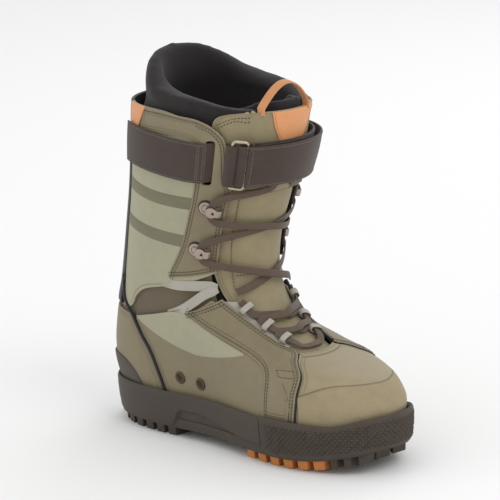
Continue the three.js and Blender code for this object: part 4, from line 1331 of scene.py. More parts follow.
@dataclass
class LowerShell:
    """The leather from the sole to the ankle."""

    vents: tuple = (("rear", 0.062, -0.610), ("front", 0.052, -0.560))

    def toe(self) -> None:
        """The vamp, its pebbled cap and the stitched top edge."""
        # The vamp and its top binding wear olive leather painted lighter, as painted light on the toe.
        vamp = Panel("vamp_leather", flip(VAMP_EDGE), VAMP_EDGE, cell=3.2).build()
        Bench.dress(vamp, OLIVE_PAINTED_LIT_TOE, Body.LOWER, ["vamp"], "olive_leather")
        low = [(-0.03, a) for a in (-0.305, -0.2, -0.1, 0.0, 0.1, 0.2, 0.305)]
        line = [(0.095, -0.305), (0.145, -0.2), (0.152, -0.1), (0.150, 0.0), (0.152, 0.1), (0.145, 0.2),
                (0.095, 0.305)]
        cap = Panel("pebbled_toe_cap", low, line, lift=0.35, thick=0.8, drop=0.3, edge=0.2, cell=3.0).build()
        # The cap wears leather painted lighter as painted light, with a line of painted shade along its edge.
        Bench.dress(cap, TOE_CAP_PAINTED_LIGHT_AND_SHADE, Body.LOWER)
        top = [(0.335, -0.115), (0.337, 0.0), (0.335, 0.115)]
        rim = Panel("vamp_top_binding", [(0.325, -0.12), (0.327, 0.0), (0.325, 0.12)],
                    [(0.343, -0.12), (0.345, 0.0), (0.343, 0.12)], lift=0.5, thick=1.2, cell=2.0).build()
        Bench.dress(rim, OLIVE_PAINTED_LIT_TOE, Body.LOWER)
        seam = FINE_STITCH.sew("vamp_top_thread", [(top, 2.4, 0.55), (top, -5.0, 0.15)])
        Bench.dress(seam, THREAD, Body.LOWER)

    def heel(self) -> None:
        """The counter and its moulded cap; the piping on its seams is made with each side."""
        back = [(u, a + 0.006) for u, a in HEEL_SEAM]
        counter = Panel("heel_counter_leather", back, round_back(back), cell=3.0, puff=0.4).build()
        Bench.dress(counter, OLIVE, Body.LOWER, ["heel_counter"], "olive_leather")
        cap = [(-0.02, 0.73), (0.03, 0.742), (0.06, 0.757), (0.088, 0.785), (0.103, 0.83)]
        rubber = Panel("heel_cap_moulding", cap, round_back(cap), lift=2.0, thick=2.0, drop=1.2, edge=0.6,
                       cell=2.2).build()
        Bench.dress(rubber, HEEL, Body.LOWER, ["heel_rubber_cap"], "heel_rubber")

    def side(self, side: Side) -> None:
        """One side's quarter, eyestay, ankle inset and seams.

        Args:
            side: Which side.
        """
        w = side.word
        quarter = Panel(f"quarter_leather_{w}", QUARTER_LOW, QUARTER_TOP, side, corners=((3,), (3,)),
                        cell=3.0, puff=0.3).build()
        Bench.dress(quarter, OLIVE, Body.LOWER, [f"quarter_{w}"], "olive_leather")
        inset = Panel(f"ankle_inset_{w}", SAGE_TOP, SAGE_LOW, side, lift=0.5, thick=0.8, drop=0.3, edge=0.2,
                      corners=((3,), ())).build()
        Bench.dress(inset, SAGE, Body.LOWER, [f"ankle_panel_{w}"], "sage_leather")
        stay = Panel(f"lower_eyestay_leather_{w}", EYESTAY_IN, EYESTAY_OUT, side, lift=1.3, thick=1.5,
                     puff=0.6, cell=2.2).build()
        Bench.dress(stay, OLIVE, Body.LOWER, [f"lower_eyestay_{w}"], "olive_leather")
        head = [(0.465, 0.445), (0.50, 0.36), (0.535, 0.27)]
        lines = (rows(EYESTAY_IN, 1.75) + rows(EYESTAY_OUT, 1.75, -1) + rows(head, 1.75, 1))
        box = [(0.205, 0.256), (0.205, 0.305), (0.165, 0.318), (0.165, 0.28)]
        lines.append((box, 0, 1.95))
        thread = STITCH.sew(f"lower_eyestay_thread_{w}", lines, side, [()] * (len(lines) - 1) + [(1, 2)])
        Bench.dress(thread, THREAD, Body.LOWER)
        front = EYESTAY_IN[4:]
        near, far = ([(u, a + d) for u, a in front] for d in (-0.004, 0.02))
        trim = Panel(f"vamp_seam_trim_{w}", near, far, side, lift=0.9, thick=1.0, edge=0.2, cell=2.4).build()
        Bench.dress(trim, TRIM, Body.LOWER)
        pipe = [(0.52, 0.785), (0.44, 0.762), (0.385, 0.727), (0.352, 0.706), (0.25, 0.690), (0.16, 0.676),
                (0.0, 0.662)]
        t = np.linspace(0, len(pipe) - 1, 200)
        u, a = (follow(pipe, t) * (1, side.value)).T
        centre, out = even(LAST.skin(u, a, 0.6), 2.5, LAST.normal(u, a))
        piping = Band(f"heel_piping_cord_{w}", 3.0, 2.6, square=2.2, around=12).sweep(centre, out)
        Bench.dress(piping, TRIM, Body.ANKLE, [f"heel_piping_{w}"], "black_trim")
        edge = [(0.345, 0.695), (0.43, 0.53), (0.462, 0.46)]
        seam = FINE_STITCH.sew(f"quarter_thread_{w}", [(edge, -2.0, 0.3)], side)
        Bench.dress(seam, PALE_THREAD, Body.LOWER)

    def vent(self, word: str, u: float, a: float) -> None:
        """One eyelet: a turned rim round a dished mesh.

        Args:
            word: Which of the two.
            u: Its level.
            a: Its place.
        """
        n = LAST.normal(np.array([u]), np.array([a]))[0]
        turn = Vector(n).to_track_quat("Z", "Y").to_matrix().to_4x4()
        place = Matrix.Translation(LAST.skin(u, a, 0.9)[0]) @ turn
        Bench.clear()
        bpy.ops.mesh.primitive_torus_add(major_radius=4.1 * MM, minor_radius=1.1 * MM, major_segments=36,
                                         minor_segments=12)
        rim = bpy.context.object
        rim.name = rim.data.name = f"vent_rim_{word}"
        co = Bench.points(rim)
        co[:, 2] *= 0.75
        Bench.set_points(rim, co)
        Bench.clear()
        bpy.ops.mesh.primitive_torus_add(major_radius=2.1 * MM, minor_radius=0.5 * MM, major_segments=28,
                                         minor_segments=8)
        inner = bpy.context.object
        rim = Bench.join(rim.name, [rim, inner])
        rim.data.transform(place)
        Bench.soften(rim, 60)
        Bench.dress(rim, EYELET, Body.LOWER, [f"vent_{word}"], "vent_metal")
        Bench.clear()
        bpy.ops.mesh.primitive_cylinder_add(vertices=32, radius=3.9 * MM, depth=1.2 * MM)
        mesh = bpy.context.object
        mesh.name = mesh.data.name = f"vent_mesh_{word}"
        Bench.modify(mesh, "BEVEL", width=0.3 * MM, segments=2)
        Bench.uv(mesh, "UVMap", Bench.points(mesh)[:, :2])
        mesh.data.transform(place @ Matrix.Translation((0, 0, -0.5 * MM)))
        Bench.soften(mesh, 40)
        Bench.dress(mesh, DARK, Body.LOWER)

    def build(self) -> None:
        """Make and dress the lower shell."""
        self.toe()
        self.heel()
        for side in Side:
            self.side(side)
        for vent in self.vents:
            self.vent(*vent)


# ---- ankle and tongue -----------------------------------------------------------------------------
@dataclass
class Ankle:
    """The ankle's window cloth, its pale straps, and the lace loops with their tape."""

    loops: tuple = ((0.405, 0.104), (0.455, 0.133), (0.512, 0.181))

    def window(self) -> None:
        """The cloth behind the gap between shell and cuff."""
        low = [(0.505, 0.30), (0.445, 0.44), (0.41, 0.55), (0.34, 0.70), (0.325, 0.85), (0.325, 1.0)]
        top = [(0.64, 0.30), (0.62, 0.45), (0.60, 0.55), (0.56, 0.70), (0.52, 0.85), (0.52, 1.0)]
        low, top = low + round_back(low[:-1])[::-1], top + round_back(top[:-1])[::-1]
        cloth = Panel("ankle_window_cloth", low, top, lift=-2.3, thick=1.6, cell=3.4).build()
        Bench.dress(cloth, WINDOW, Body.ANKLE, ["ankle_gusset"], "dark_fabric")

    def straps(self, side: Side) -> None:
        """The folded pale webbing that holds a lace at the ankle.

        Args:
            side: Which side.
        """
        upper = [(0.545, 0.575), (0.553, 0.46), (0.566, 0.34), (0.568, 0.275)]
        lower = [(0.425, 0.535), (0.488, 0.43), (0.540, 0.34), (0.562, 0.275)]
        made = []
        for chain, lift, wide in ((upper, 0.6, 8.5), (lower, 1.5, 8.0)):
            t = np.linspace(0, len(chain) - 1, 120)
            u, a = (follow(chain, t) * (1, side.value)).T
            share = t / t[-1]
            height = lift - 3.6 * (1 - smooth(share, 0.05, 0.42))
            centre, out, share = even(LAST.skin(u, a, height), 1.6, LAST.normal(u, a), share[:, None])
            taper = wide * (1 - 0.35 * smooth(share[:, 0], 0.86, 1.0))
            made.append(Band("strip", wide, 1.3, square=4, around=16).sweep(centre, out, width=taper))
        straps = Bench.join(f"ankle_straps_{side.word}", made)
        Bench.dress(straps, PALE, Body.ANKLE, [f"ankle_webbing_{side.word}"], "webbing_pale")

    def lace_loops(self, side: Side) -> None:
        """Three webbing loops on a tape, which the lower lace runs through.

        Args:
            side: Which side.
        """
        tape = Panel("tape", [(0.38, 0.108), (0.44, 0.136), (0.53, 0.214)],
                     [(0.375, 0.166), (0.44, 0.208), (0.527, 0.292)], side,
                     lift=-0.2, thick=1.4, cell=2.0).build()
        made = [tape]
        for u, a in self.loops:
            frame_ = place_on(u, side.value * a, 2.6, (0.05, side.value * 0.04))
            angle = np.linspace(0, 2 * np.pi, 40, endpoint=False)
            c, s = np.cos(angle), np.sin(angle)
            x = 5.4 * np.sign(c) * np.abs(c) ** 0.7
            z = 2.9 * np.sign(s) * np.abs(s) ** 0.7
            ring = np.stack([x, np.zeros(40), z], 1)
            out = np.stack([c / 5.4, np.zeros(40), s / 2.9], 1)
            m = np.array(frame_)
            centre = ring * MM @ m[:3, :3].T + m[:3, 3]
            band = Band("loop", 5.0, 0.9, square=4, around=12)
            made.append(band.sweep(centre, out @ m[:3, :3].T, closed=True))
        piece = Bench.join(f"lace_loop_webbing_{side.word}", made)
        Bench.dress(piece, PALE, Body.LOWER, [f"lace_loops_{side.word}"], "webbing_pale")

    def build(self) -> None:
        """Make and dress both sides."""
        self.window()
        for side in Side:
            self.straps(side)
            self.lace_loops(side)


def place_on(u: float, a: float, lift: float, heading: tuple[float, float]) -> Matrix:
    """The frame at a place on the last.

    Args:
        u: Its level.
        a: Its place round the boot.
        lift: Its height off the last.
        heading: The step in u and a that its y axis follows.

    Returns:
        x across towards the middle, y along the heading, z outwards, in metres.
    """
    out = Vector(LAST.normal(np.array([u]), np.array([a]))[0])
    here = Vector(LAST.skin(u, a, 0)[0])
    up = Vector(LAST.skin(u + heading[0], a + heading[1], 0)[0]) - here
    up = (up - out * up.dot(out)).normalized()
    across = up.cross(out)
    m = Matrix((across, up, out)).transposed().to_4x4()
    m.translation = Vector(LAST.skin(u, a, lift)[0])
    return m


@dataclass
class Tongue:
    """The leather tongue from the toe of the throat to its rolled top, its patch and its pull loop."""

    edge: tuple = ((0.345, 0.10), (0.41, 0.17), (0.46, 0.21), (0.52, 0.25), (0.60, 0.285), (0.72, 0.30),
                   (0.83, 0.30), (0.93, 0.325), (0.968, 0.348), (0.988, 0.335), (0.997, 0.29), (1.0, 0.23))
    foot_u: float = 1.036
    rise: float = 18.5

    def swell(self, u: np.ndarray, a: np.ndarray) -> np.ndarray:
        """The padding under the leather: fuller in the middle, pulled down along the quilting."""
        middle = 1.4 * (1 - smooth(np.abs(a), 0.02, 0.26))
        quilt = sum(np.exp(-(((u - v) / 0.006) ** 2)) for v in (0.47, 0.60, 0.80))
        side_line = np.exp(-(((np.abs(a) - 0.205) / 0.008) ** 2)) * smooth(u, 0.46, 0.50)
        return middle - 0.9 * quilt * (1 - smooth(np.abs(a), 0.19, 0.24)) - 0.7 * side_line

    def leather(self) -> None:
        """The tongue itself and its quilting thread."""
        first = [(u, -a) for u, a in self.edge]
        piece = Panel("tongue_leather", first, [(u, a) for u, a in self.edge], lift=-2.8, thick=2.6,
                      shape=self.swell, cell=2.4, edge=0.9, corners=((8,), (8,))).build()
        # The tongue wears olive leather painted lighter, as painted light on the front of the boot.
        Bench.dress(piece, OLIVE_PAINTED_LIT_TONGUE, Body.ANKLE, ["tongue", "tongue_gusset"], "olive_leather")
        lines = [([(v, -0.19), (v + 0.004, 0.0), (v, 0.19)], 0, -2.0) for v in (0.47, 0.60, 0.80)]
        left = [(0.978, -0.338), (0.992, -0.29), (0.999, -0.24), (1.0, -0.205)]
        right = [(u, -a) for u, a in reversed(left)]
        for chain in (left, right):
            lines += [(chain, -2.4, -2.5), (chain, -4.8, -2.4)]
        down = [(0.56, 0.205), (0.70, 0.205), (0.80, 0.205)]
        lines += [(down, 0, -2.3), (flip(down), 0, -2.3)]
        thread = STITCH.sew("tongue_thread", lines)
        Bench.dress(thread, THREAD, Body.ANKLE)

    def patch(self) -> None:
        """The orange tab sewn across the tongue's top."""
        first = [(0.925, -0.07), (0.96, -0.10), (1.0, -0.122)]
        piece = Panel("tongue_tab", first, flip(first), lift=-0.6, thick=1.4, cell=2.0, edge=0.3).build()
        Bench.dress(piece, TAB, Body.CUFF, ["tongue_patch"], "orange_leather")
        thread = FINE_STITCH.sew("tongue_tab_thread", [(first, -1.6, -0.5), (flip(first), 1.6, -0.5)])
        Bench.dress(thread, RUST_THREAD, Body.CUFF)

    def pull_loop(self) -> None:
        """The tape loop, with both feet sewn under the tab."""
        left, right = (LAST.skin(self.foot_u, a, -3)[0] for a in (-0.165, 0.075))
        depth = LAST.normal(np.array([0.99]), np.array([0.0]))[0]
        t = np.linspace(0, np.pi, 90)
        share = (1 - np.cos(t)) / 2
        line = left + (right - left) * share[:, None]
        line[:, 2] += np.sin(np.pi * share**1.25) ** 0.72 * self.rise * MM
        for foot, where in ((left, 0), (right, -1)):
            down = foot + np.array([0, 0, -5.0]) * MM
            line = np.concatenate([[down], line]) if where == 0 else np.concatenate([line, [down]])
        out = np.cross(np.gradient(line, axis=0), np.broadcast_to(depth, line.shape))
        centre, out = even(line, 1.3, out)
        piece = Band("pull_loop_tape", 7.6, 1.7, square=5, around=16).sweep(centre, out)
        Bench.dress(piece, TAPE, Body.LOOP, ["tongue_pull_loop"], "orange_webbing")

    def build(self) -> None:
        """Make and dress the tongue."""
        self.leather()
        self.patch()
        self.pull_loop()


# ---- cuff -----------------------------------------------------------------------------------------
FACING_FRONT = [(0.61, 0.270), (0.635, 0.262), (0.67, 0.255), (0.72, 0.253), (0.785, 0.25),
                (0.815, 0.242), (0.845, 0.262), (0.93, 0.285), (0.965, 0.33), (0.985, 0.395),
                (0.991, 0.47), (0.996, 0.55), (0.999, 0.645)]
FACING_BACK = [(0.572, 0.482), (0.60, 0.468), (0.64, 0.437), (0.69, 0.410), (0.765, 0.397),
               (0.80, 0.392), (0.85, 0.388), (0.915, 0.390), (0.934, 0.408), (0.941, 0.445),
               (0.943, 0.50), (0.943, 0.57), (0.943, 0.645)]
SHAFT_LOW = [(0.608, 0.27), (0.575, 0.38), (0.545, 0.48), (0.530, 0.545), (0.505, 0.62), (0.462, 0.675),
             (0.40, 0.712), (0.385, 0.765)]
SHAFT_TOP = [(0.826, 0.36), (0.96, 0.40), (0.985, 0.47), (0.995, 0.53), (0.998, 0.60), (0.998, 0.66),
             (0.998, 0.72), (0.998, 0.765)]
BACK_STAY = [(0.385, 0.79), (0.5, 0.785), (0.56, 0.765), (0.7, 0.757), (0.85, 0.757), (0.998, 0.757)]


@dataclass
class Cuff:
    """The shaft panels, facings, bands, collar tabs and back stay."""

    def bands(self, side: Side) -> None:
        """Two raised bands across the shaft.

        Args:
            side: Which side.
        """
        for word, low, high in (("upper", 0.79, 0.825), ("lower", 0.69, 0.728)):
            steps = ((0.0, 0.75), (-0.02, 0.55), (-0.026, 0.385))
            piece = Panel(f"shaft_band_{word}_leather_{side.word}", [(low + d, a) for d, a in steps],
                          [(high + d, a) for d, a in steps], side, lift=0.5, thick=0.8, puff=0.7, drop=0.4,
                          edge=0.3, cell=2.2).build()
            Bench.dress(piece, BAND, Body.CUFF, [f"shaft_band_{word}_{side.word}"], "band_leather")

    def facing(self, side: Side) -> None:
        """The eyestay of the cuff, which runs on into the collar, with its strap slot and thread.

        Args:
            side: Which side.
        """
        w = side.word
        piece = Panel(f"facing_and_collar_{w}", FACING_FRONT, FACING_BACK, side,
                      lift=1.3, thick=1.6, puff=0.6, cell=2.2).build()
        if side is Side.MEDIAL:
            cutter = Panel("slot", [(0.832, 0.322), (0.938, 0.322)], [(0.832, 0.358), (0.938, 0.358)], side,
                           lift=9, thick=14, edge=2.6, cell=3).build()
            Bench.cut(piece, cutter)
            Bench.soften(piece)
        Bench.dress(piece, OLIVE, Body.CUFF, [f"upper_eyestay_{w}"], "olive_leather")
        foot = [(0.572, 0.482), (0.588, 0.38), (0.61, 0.270)]
        lines = rows(FACING_FRONT[:10], 1.75, -1) + rows(FACING_FRONT[9:], 1.75, -1, (2.2,))
        lines += rows(FACING_BACK[:7], 1.75) + rows(foot, 1.75, -1)
        thread = STITCH.sew(f"facing_thread_{w}", lines, side)
        Bench.dress(thread, THREAD, Body.CUFF)

    def piping(self) -> None:
        """The dark cord along the outer side's throat."""
        for name, chain, body in (("cuff", FACING_FRONT[:7], Body.CUFF),
                                  ("shell", EYESTAY_IN[:5], Body.LOWER)):
            u, a = follow(chain, np.linspace(0, len(chain) - 1, 160)).T
            centre, out = even(LAST.skin(u, a - 0.006, 1.6), 2.0, LAST.normal(u, a))
            cord = Band(f"throat_piping_{name}", 3.2, 3.2, square=2.2, around=14).sweep(centre, out)
            Bench.dress(cord, TRIM, body)

    def side(self, side: Side) -> None:
        """One side of the cuff.

        Args:
            side: Which side.
        """
        w = side.word
        shaft = Panel(f"shaft_leather_{w}", SHAFT_LOW, SHAFT_TOP, side, thick=2.0, cell=3.2, puff=0.3).build()
        Bench.dress(shaft, SAGE, Body.CUFF, [f"shaft_panel_{w}"], "sage_leather")
        self.facing(side)
        self.bands(side)
        low = [(0.538, 0.52), (0.510, 0.62), (0.468, 0.672), (0.41, 0.705)]
        seam = FINE_STITCH.sew(f"shaft_edge_thread_{w}", [(low, 2.0, 0.3)], side)
        Bench.dress(seam, PALE_THREAD, Body.CUFF)
        tab = Panel(f"collar_tab_leather_{w}", [(0.943, 0.672), (0.943, 0.745)],
                    [(1.001, 0.622), (1.001, 0.745)],
                    side, lift=1.9, thick=1.5, puff=0.4, cell=2.0, edge=0.35).build()
        Bench.dress(tab, TAB, Body.CUFF, [f"collar_tab_{w}"], "orange_leather")
        lines = [([(0.946, 0.672), (1.0, 0.624)], 1.8, 2.2)]
        Bench.dress(FINE_STITCH.sew(f"collar_tab_thread_{w}", lines, side), RUST_THREAD, Body.CUFF)

    def build(self) -> None:
        """Make and dress the cuff."""
        for side in Side:
            self.side(side)
        self.piping()
        stay = Panel("back_stay_leather", BACK_STAY, round_back(BACK_STAY), lift=0.9, thick=2.6, cell=3.0,
                     puff=0.5).build()
        Bench.dress(stay, TRIM, Body.CUFF, ["back_stay"], "black_trim")
        lines = [(BACK_STAY[1:], 2.4, 1.2), (round_back(BACK_STAY[1:]), -2.4, 1.2)]
        Bench.dress(FINE_STITCH.sew("back_stay_thread", lines), GREY_THREAD, Body.CUFF)


# ---- liner ----------------------------------------------------------------------------------------
@dataclass
class Liner:
    """The padded inner boot: foot, ankle, rolled collar, tongue and insole."""

    places: tuple = (0.0, 0.2, 0.3, 0.4, 0.5, 0.6, 0.7, 0.8, 0.9, 1.0)
    levels: tuple = (1.02, 1.03, 1.055, 1.105, 1.14, 1.19, 1.27, 1.34, 1.375, 1.385)
    draw: float = 16.0
    voxel: float = 3.6
    split: float = 0.17

    def shell(self, name: str, a: np.ndarray, profile: Callable, closed: bool) -> bpy.types.Object:
        """A padded wall from a closed profile at each place round the boot.

        Args:
            name: The piece's name.
            a: The places.
            profile: Gives the profile's points, level and lift, at one place.
            closed: Whether it goes all the way round.

        Returns:
            The closed solid.
        """
        sections = []
        for place in a:
            points = np.array(profile(abs(place if place <= 1 else 2 - place)))
            loop = np.concatenate([points, points[:1]])
            run = walked(loop * (LAST.rise_per_u, 1))
            stops = np.linspace(0, run[-1], 57)[:-1]
            u, lift = np.interp(stops, run, loop[:, 0]), np.interp(stops, run, loop[:, 1])
            sections.append(LAST.skin(u, np.full(len(u), place), lift))
        return Bench.tube(name, np.array(sections), closed)

    def puff(self, piece: bpy.types.Object, cap: Callable[[np.ndarray], np.ndarray]) -> None:
        """Fill a pad with air: remesh it, let cloth swell under pressure, hold it within a cap.

        Args:
            piece: The pad.
            cap: The furthest that each point may move, in metres, from the points.
        """
        Bench.pick(piece)
        piece.data.remesh_voxel_size = self.voxel * MM
        bpy.ops.object.voxel_remesh()
        rest = Bench.points(piece)
        modifier = piece.modifiers.new("cloth", "CLOTH")
        modifier.settings.use_pressure = True
        modifier.settings.uniform_pressure_force = 4
        modifier.settings.effector_weights.gravity = 0
        modifier.settings.quality = 4
        modifier.point_cache.frame_start, modifier.point_cache.frame_end = 1, 20
        for number in range(1, 21):
            bpy.context.scene.frame_set(number)
        Bench.pick(piece)
        bpy.ops.object.modifier_apply(modifier=modifier.name)
        move = Bench.points(piece) - rest
        far = np.linalg.norm(move, axis=1)
        limit = cap(rest)
        keep = limit * np.tanh(far / np.maximum(limit, 1e-6)) / np.maximum(far, 1e-9)
        Bench.set_points(piece, rest + move * keep[:, None])
        bpy.context.scene.frame_set(1)
        Bench.modify(piece, "SMOOTH", factor=0.5, iterations=6)
        Bench.modify(piece, "SUBSURF", levels=1, render_levels=1)
        Bench.soften(piece, 60)

    def rim(self, a: float) -> float:
        """The level of the collar's rim at a place."""
        return float(np.interp(a, self.places, self.levels))

    def lean(self, piece: bpy.types.Object) -> None:
        """Draw the back of the collar in towards the leg."""
        co = Bench.points(piece)
        back = 1 - smooth(co[:, 0], -0.112, -0.035)
        co[:, 0] += self.draw * MM * back * smooth(co[:, 2], 0.262, 0.300)
        Bench.set_points(piece, co)

    def collar_profile(self, a: float) -> list[tuple[float, float]]:
        """Up the outside, over the roll and down the inside.

        Args:
            a: The place round the boot.

        Returns:
            Levels and lifts round the profile.
        """
        top = self.rim(a)
        up = top - 1
        full = float(smooth(top, 1.02, 1.2))
        return [(0.62, -6.8), (0.80, -6.8), (0.93, -6.6), (0.985, -6.2), (1 + 0.3 * up, -5.6 + 2.2 * full),
                (1 + 0.6 * up, -4.8 + 2.4 * full), (1 + 0.86 * up, -5.6 + 2.0 * full),
                (top + 0.005, -8.2 + 0.8 * full), (top + 0.012, -11.0 - full),
                (top - 0.005, -14.0 - 3.6 * full), (1 + 0.8 * up, -16.2 - 4.2 * full),
                (1 + 0.4 * up, -16.4 - 3 * full), (0.95, -14.6), (0.85, -13.2), (0.62, -13.0)]

    def tongue_profile(self, a: float) -> list[tuple[float, float]]:
        """The liner's tongue, which tucks inside the collar at its edges."""
        tuck = 8.8 * float(smooth(a, 0.07, 0.165))
        top = 1.075 - 0.05 * float(smooth(a, 0.1, 0.32))
        return [(0.63, -7.2 - tuck), (0.85, -6.9 - tuck), (0.97, -6.8 - tuck), (top - 0.03, -6.2 - tuck),
                (top, -8.2 - tuck), (top + 0.006, -10.5 - tuck), (top - 0.015, -13.6 - tuck),
                (0.95, -14.2 - tuck), (0.85, -13.4 - tuck), (0.63, -13.0 - tuck)]

    def build(self) -> None:
        """Make, fill and dress the liner."""
        foot = self.shell("liner_boot", np.linspace(-1, 1, 121)[:-1],
                          lambda a: [(-0.02, -6.8), (0.2, -6.6), (0.4, -6.6), (0.628, -6.6), (0.628, -13),
                                     (0.4, -13), (0.2, -13), (-0.02, -13)], True)
        Bench.dress(foot, LINING, Body.ANKLE, ["liner_foot", "liner_ankle"], "liner_fabric")
        collar = self.shell("liner_collar", np.linspace(self.split, 2 - self.split, 150), self.collar_profile,
                            False)
        self.lean(collar)
        self.puff(collar, lambda p: (0.7 + 2.6 * smooth(p[:, 2], 0.268, 0.290)) * MM)
        Bench.dress(collar, LINING, Body.CUFF, ["liner_cuff"], "liner_fabric")
        tongue = self.shell("liner_tongue_pad", np.linspace(-0.30, 0.30, 60), self.tongue_profile, False)
        self.puff(tongue, lambda p: (0.6 + 1.8 * smooth(p[:, 2], 0.262, 0.276)) * MM)
        Bench.dress(tongue, LINING, Body.CUFF, ["liner_tongue"], "liner_fabric")
        sole, s, q = Bench.grid("insole", 80, 26)
        share = 0.03 + 0.94 * s
        m, l = Sole.outline(-share, -14.5), Sole.outline(share, -14.5)
        co = m + (l - m) * q[:, None]
        co[:, 2] = 47.6 + 0.9 * spring(co[:, 0]) + 3.0 * np.abs(2 * q - 1) ** 3 * (co[:, 0] < 170)
        Bench.set_points(sole, (co - ORIGIN) * MM)
        Bench.uv(sole, "UVMap", co[:, :2] * MM)
        Bench.face_out(sole, np.tile([0.0, 0.0, 1.0], (len(co), 1)))
        Bench.thicken(sole, 3, 0.8)
        Bench.dress(sole, INSOLE, Body.LOWER, ["footbed"], "foam")


# ---- hooks ----------------------------------------------------------------------------------------
HOOKS = (("lower", 0.667, 0.325), ("upper", 0.775, 0.305))


@dataclass
class Hooks:
    """Pressed lace hooks: a riveted plate whose throat end folds back over the lace."""

    plate: float = 1.1
    reach: float = 6.0
    gap: float = 4.4

    def path(self) -> tuple[np.ndarray, np.ndarray]:
        """The hook's side view, x towards the throat and z outwards, with its width at each point.

        Returns:
            The line in millimetres, and its width at each point.
        """
        bend = self.gap / 2 + self.plate / 2
        base = np.linspace(-10.6, self.reach, 26)
        turn = np.linspace(-np.pi / 2, np.pi / 2, 14)[1:-1]
        back = np.linspace(self.reach, -3.4, 20)
        mid = self.plate / 2 + bend
        x = np.concatenate([base, self.reach + bend * np.cos(turn), back])
        z = np.concatenate([np.full(26, self.plate / 2), mid + bend * np.sin(turn),
                            mid + bend + 0.7 * smooth(-back, 0.5, 3.4)])
        disc = 2 * np.sqrt(np.maximum(0.5, 5.5**2 - (base + 5.1) ** 2))
        first = np.where(base < -5.1, disc, 11 - 4.8 * smooth(base, -5.1, 3.5))
        tip = 2 * np.sqrt(np.maximum(0.4, 4.6**2 - (back - 1.0) ** 2))
        last = np.where(back < 1.0, tip, 9.2 - 3.2 * smooth(back, 1.0, 5.5))
        return np.stack([x, np.zeros(len(x)), z], 1), np.concatenate([first, np.full(len(turn), 6.0), last])

    def one(self, word: str, u: float, a: float, side: Side) -> None:
        """One hook with its rivet and the dark washer behind it.

        Args:
            word: Lower or upper.
            u: Its level.
            a: Its place.
            side: Which side.
        """
        name = f"{word}_{side.word}"
        turn = Matrix.Rotation(math.pi if side is Side.LATERAL else 0, 4, "Z")
        place = place_on(u, side.value * a, 3.0, (0.05, 0)) @ turn
        line, width = self.path()
        ahead = np.gradient(line, axis=0)
        out = np.cross(ahead, np.tile([0.0, 1.0, 0.0], (len(line), 1)))
        plate = Band(f"lace_hook_{name}_plate", 8, self.plate, square=6, around=20).sweep(
            line * MM, -out, width=width)
        Bench.clear()
        bpy.ops.mesh.primitive_cylinder_add(vertices=3, radius=1.9 * MM, depth=4 * MM,
                                            location=(2.6 * MM, 0, 6.2 * MM))
        hole = bpy.context.object
        hole.data.transform(hole.matrix_world)
        hole.matrix_world = Matrix.Identity(4)
        Bench.cut(plate, hole)
        Bench.clear()
        bpy.ops.mesh.primitive_uv_sphere_add(segments=24, ring_count=12, radius=2.7 * MM)
        rivet = bpy.context.object
        Bench.edit(rivet, lambda: bpy.ops.transform.resize(value=(1, 1, 0.55)),
                   lambda: bpy.ops.transform.translate(value=(-5.4 * MM, 0, self.plate * MM)))
        Bench.clear()
        bpy.ops.mesh.primitive_torus_add(major_radius=3.4 * MM, minor_radius=0.5 * MM, major_segments=28,
                                         minor_segments=8, location=(-5.4 * MM, 0, self.plate * MM))
        ring = bpy.context.object
        hook = Bench.join(plate.name, [plate, rivet, ring])
        hook.data.transform(place)
        Bench.soften(hook, 40)
        Bench.dress(hook, STEEL, Body.CUFF, [f"lace_hook_{name}"], "hook_steel")
        Bench.clear()
        bpy.ops.mesh.primitive_cylinder_add(vertices=40, radius=6.6 * MM, depth=1.4 * MM)
        washer = bpy.context.object
        washer.name = washer.data.name = f"lace_hook_{name}_washer"
        Bench.modify(washer, "BEVEL", width=0.5 * MM, segments=3, limit_method="ANGLE")
        washer.data.transform(place @ Matrix.Translation((-5.2 * MM, 0, -0.9 * MM)))
        Bench.soften(washer, 40)
        Bench.dress(washer, PLASTIC, Body.CUFF)

    def build(self) -> None:
        """Make and dress the four hooks."""
        for side in Side:
            for word, u, a in HOOKS:
                self.one(word, u, a, side)


# ---- power strap ------------------------------------------------------------------------------------
ROW_STITCH = Stitching(pitch=2.0, length=2.1, wide=0.6, high=0.45, slant=0.75)


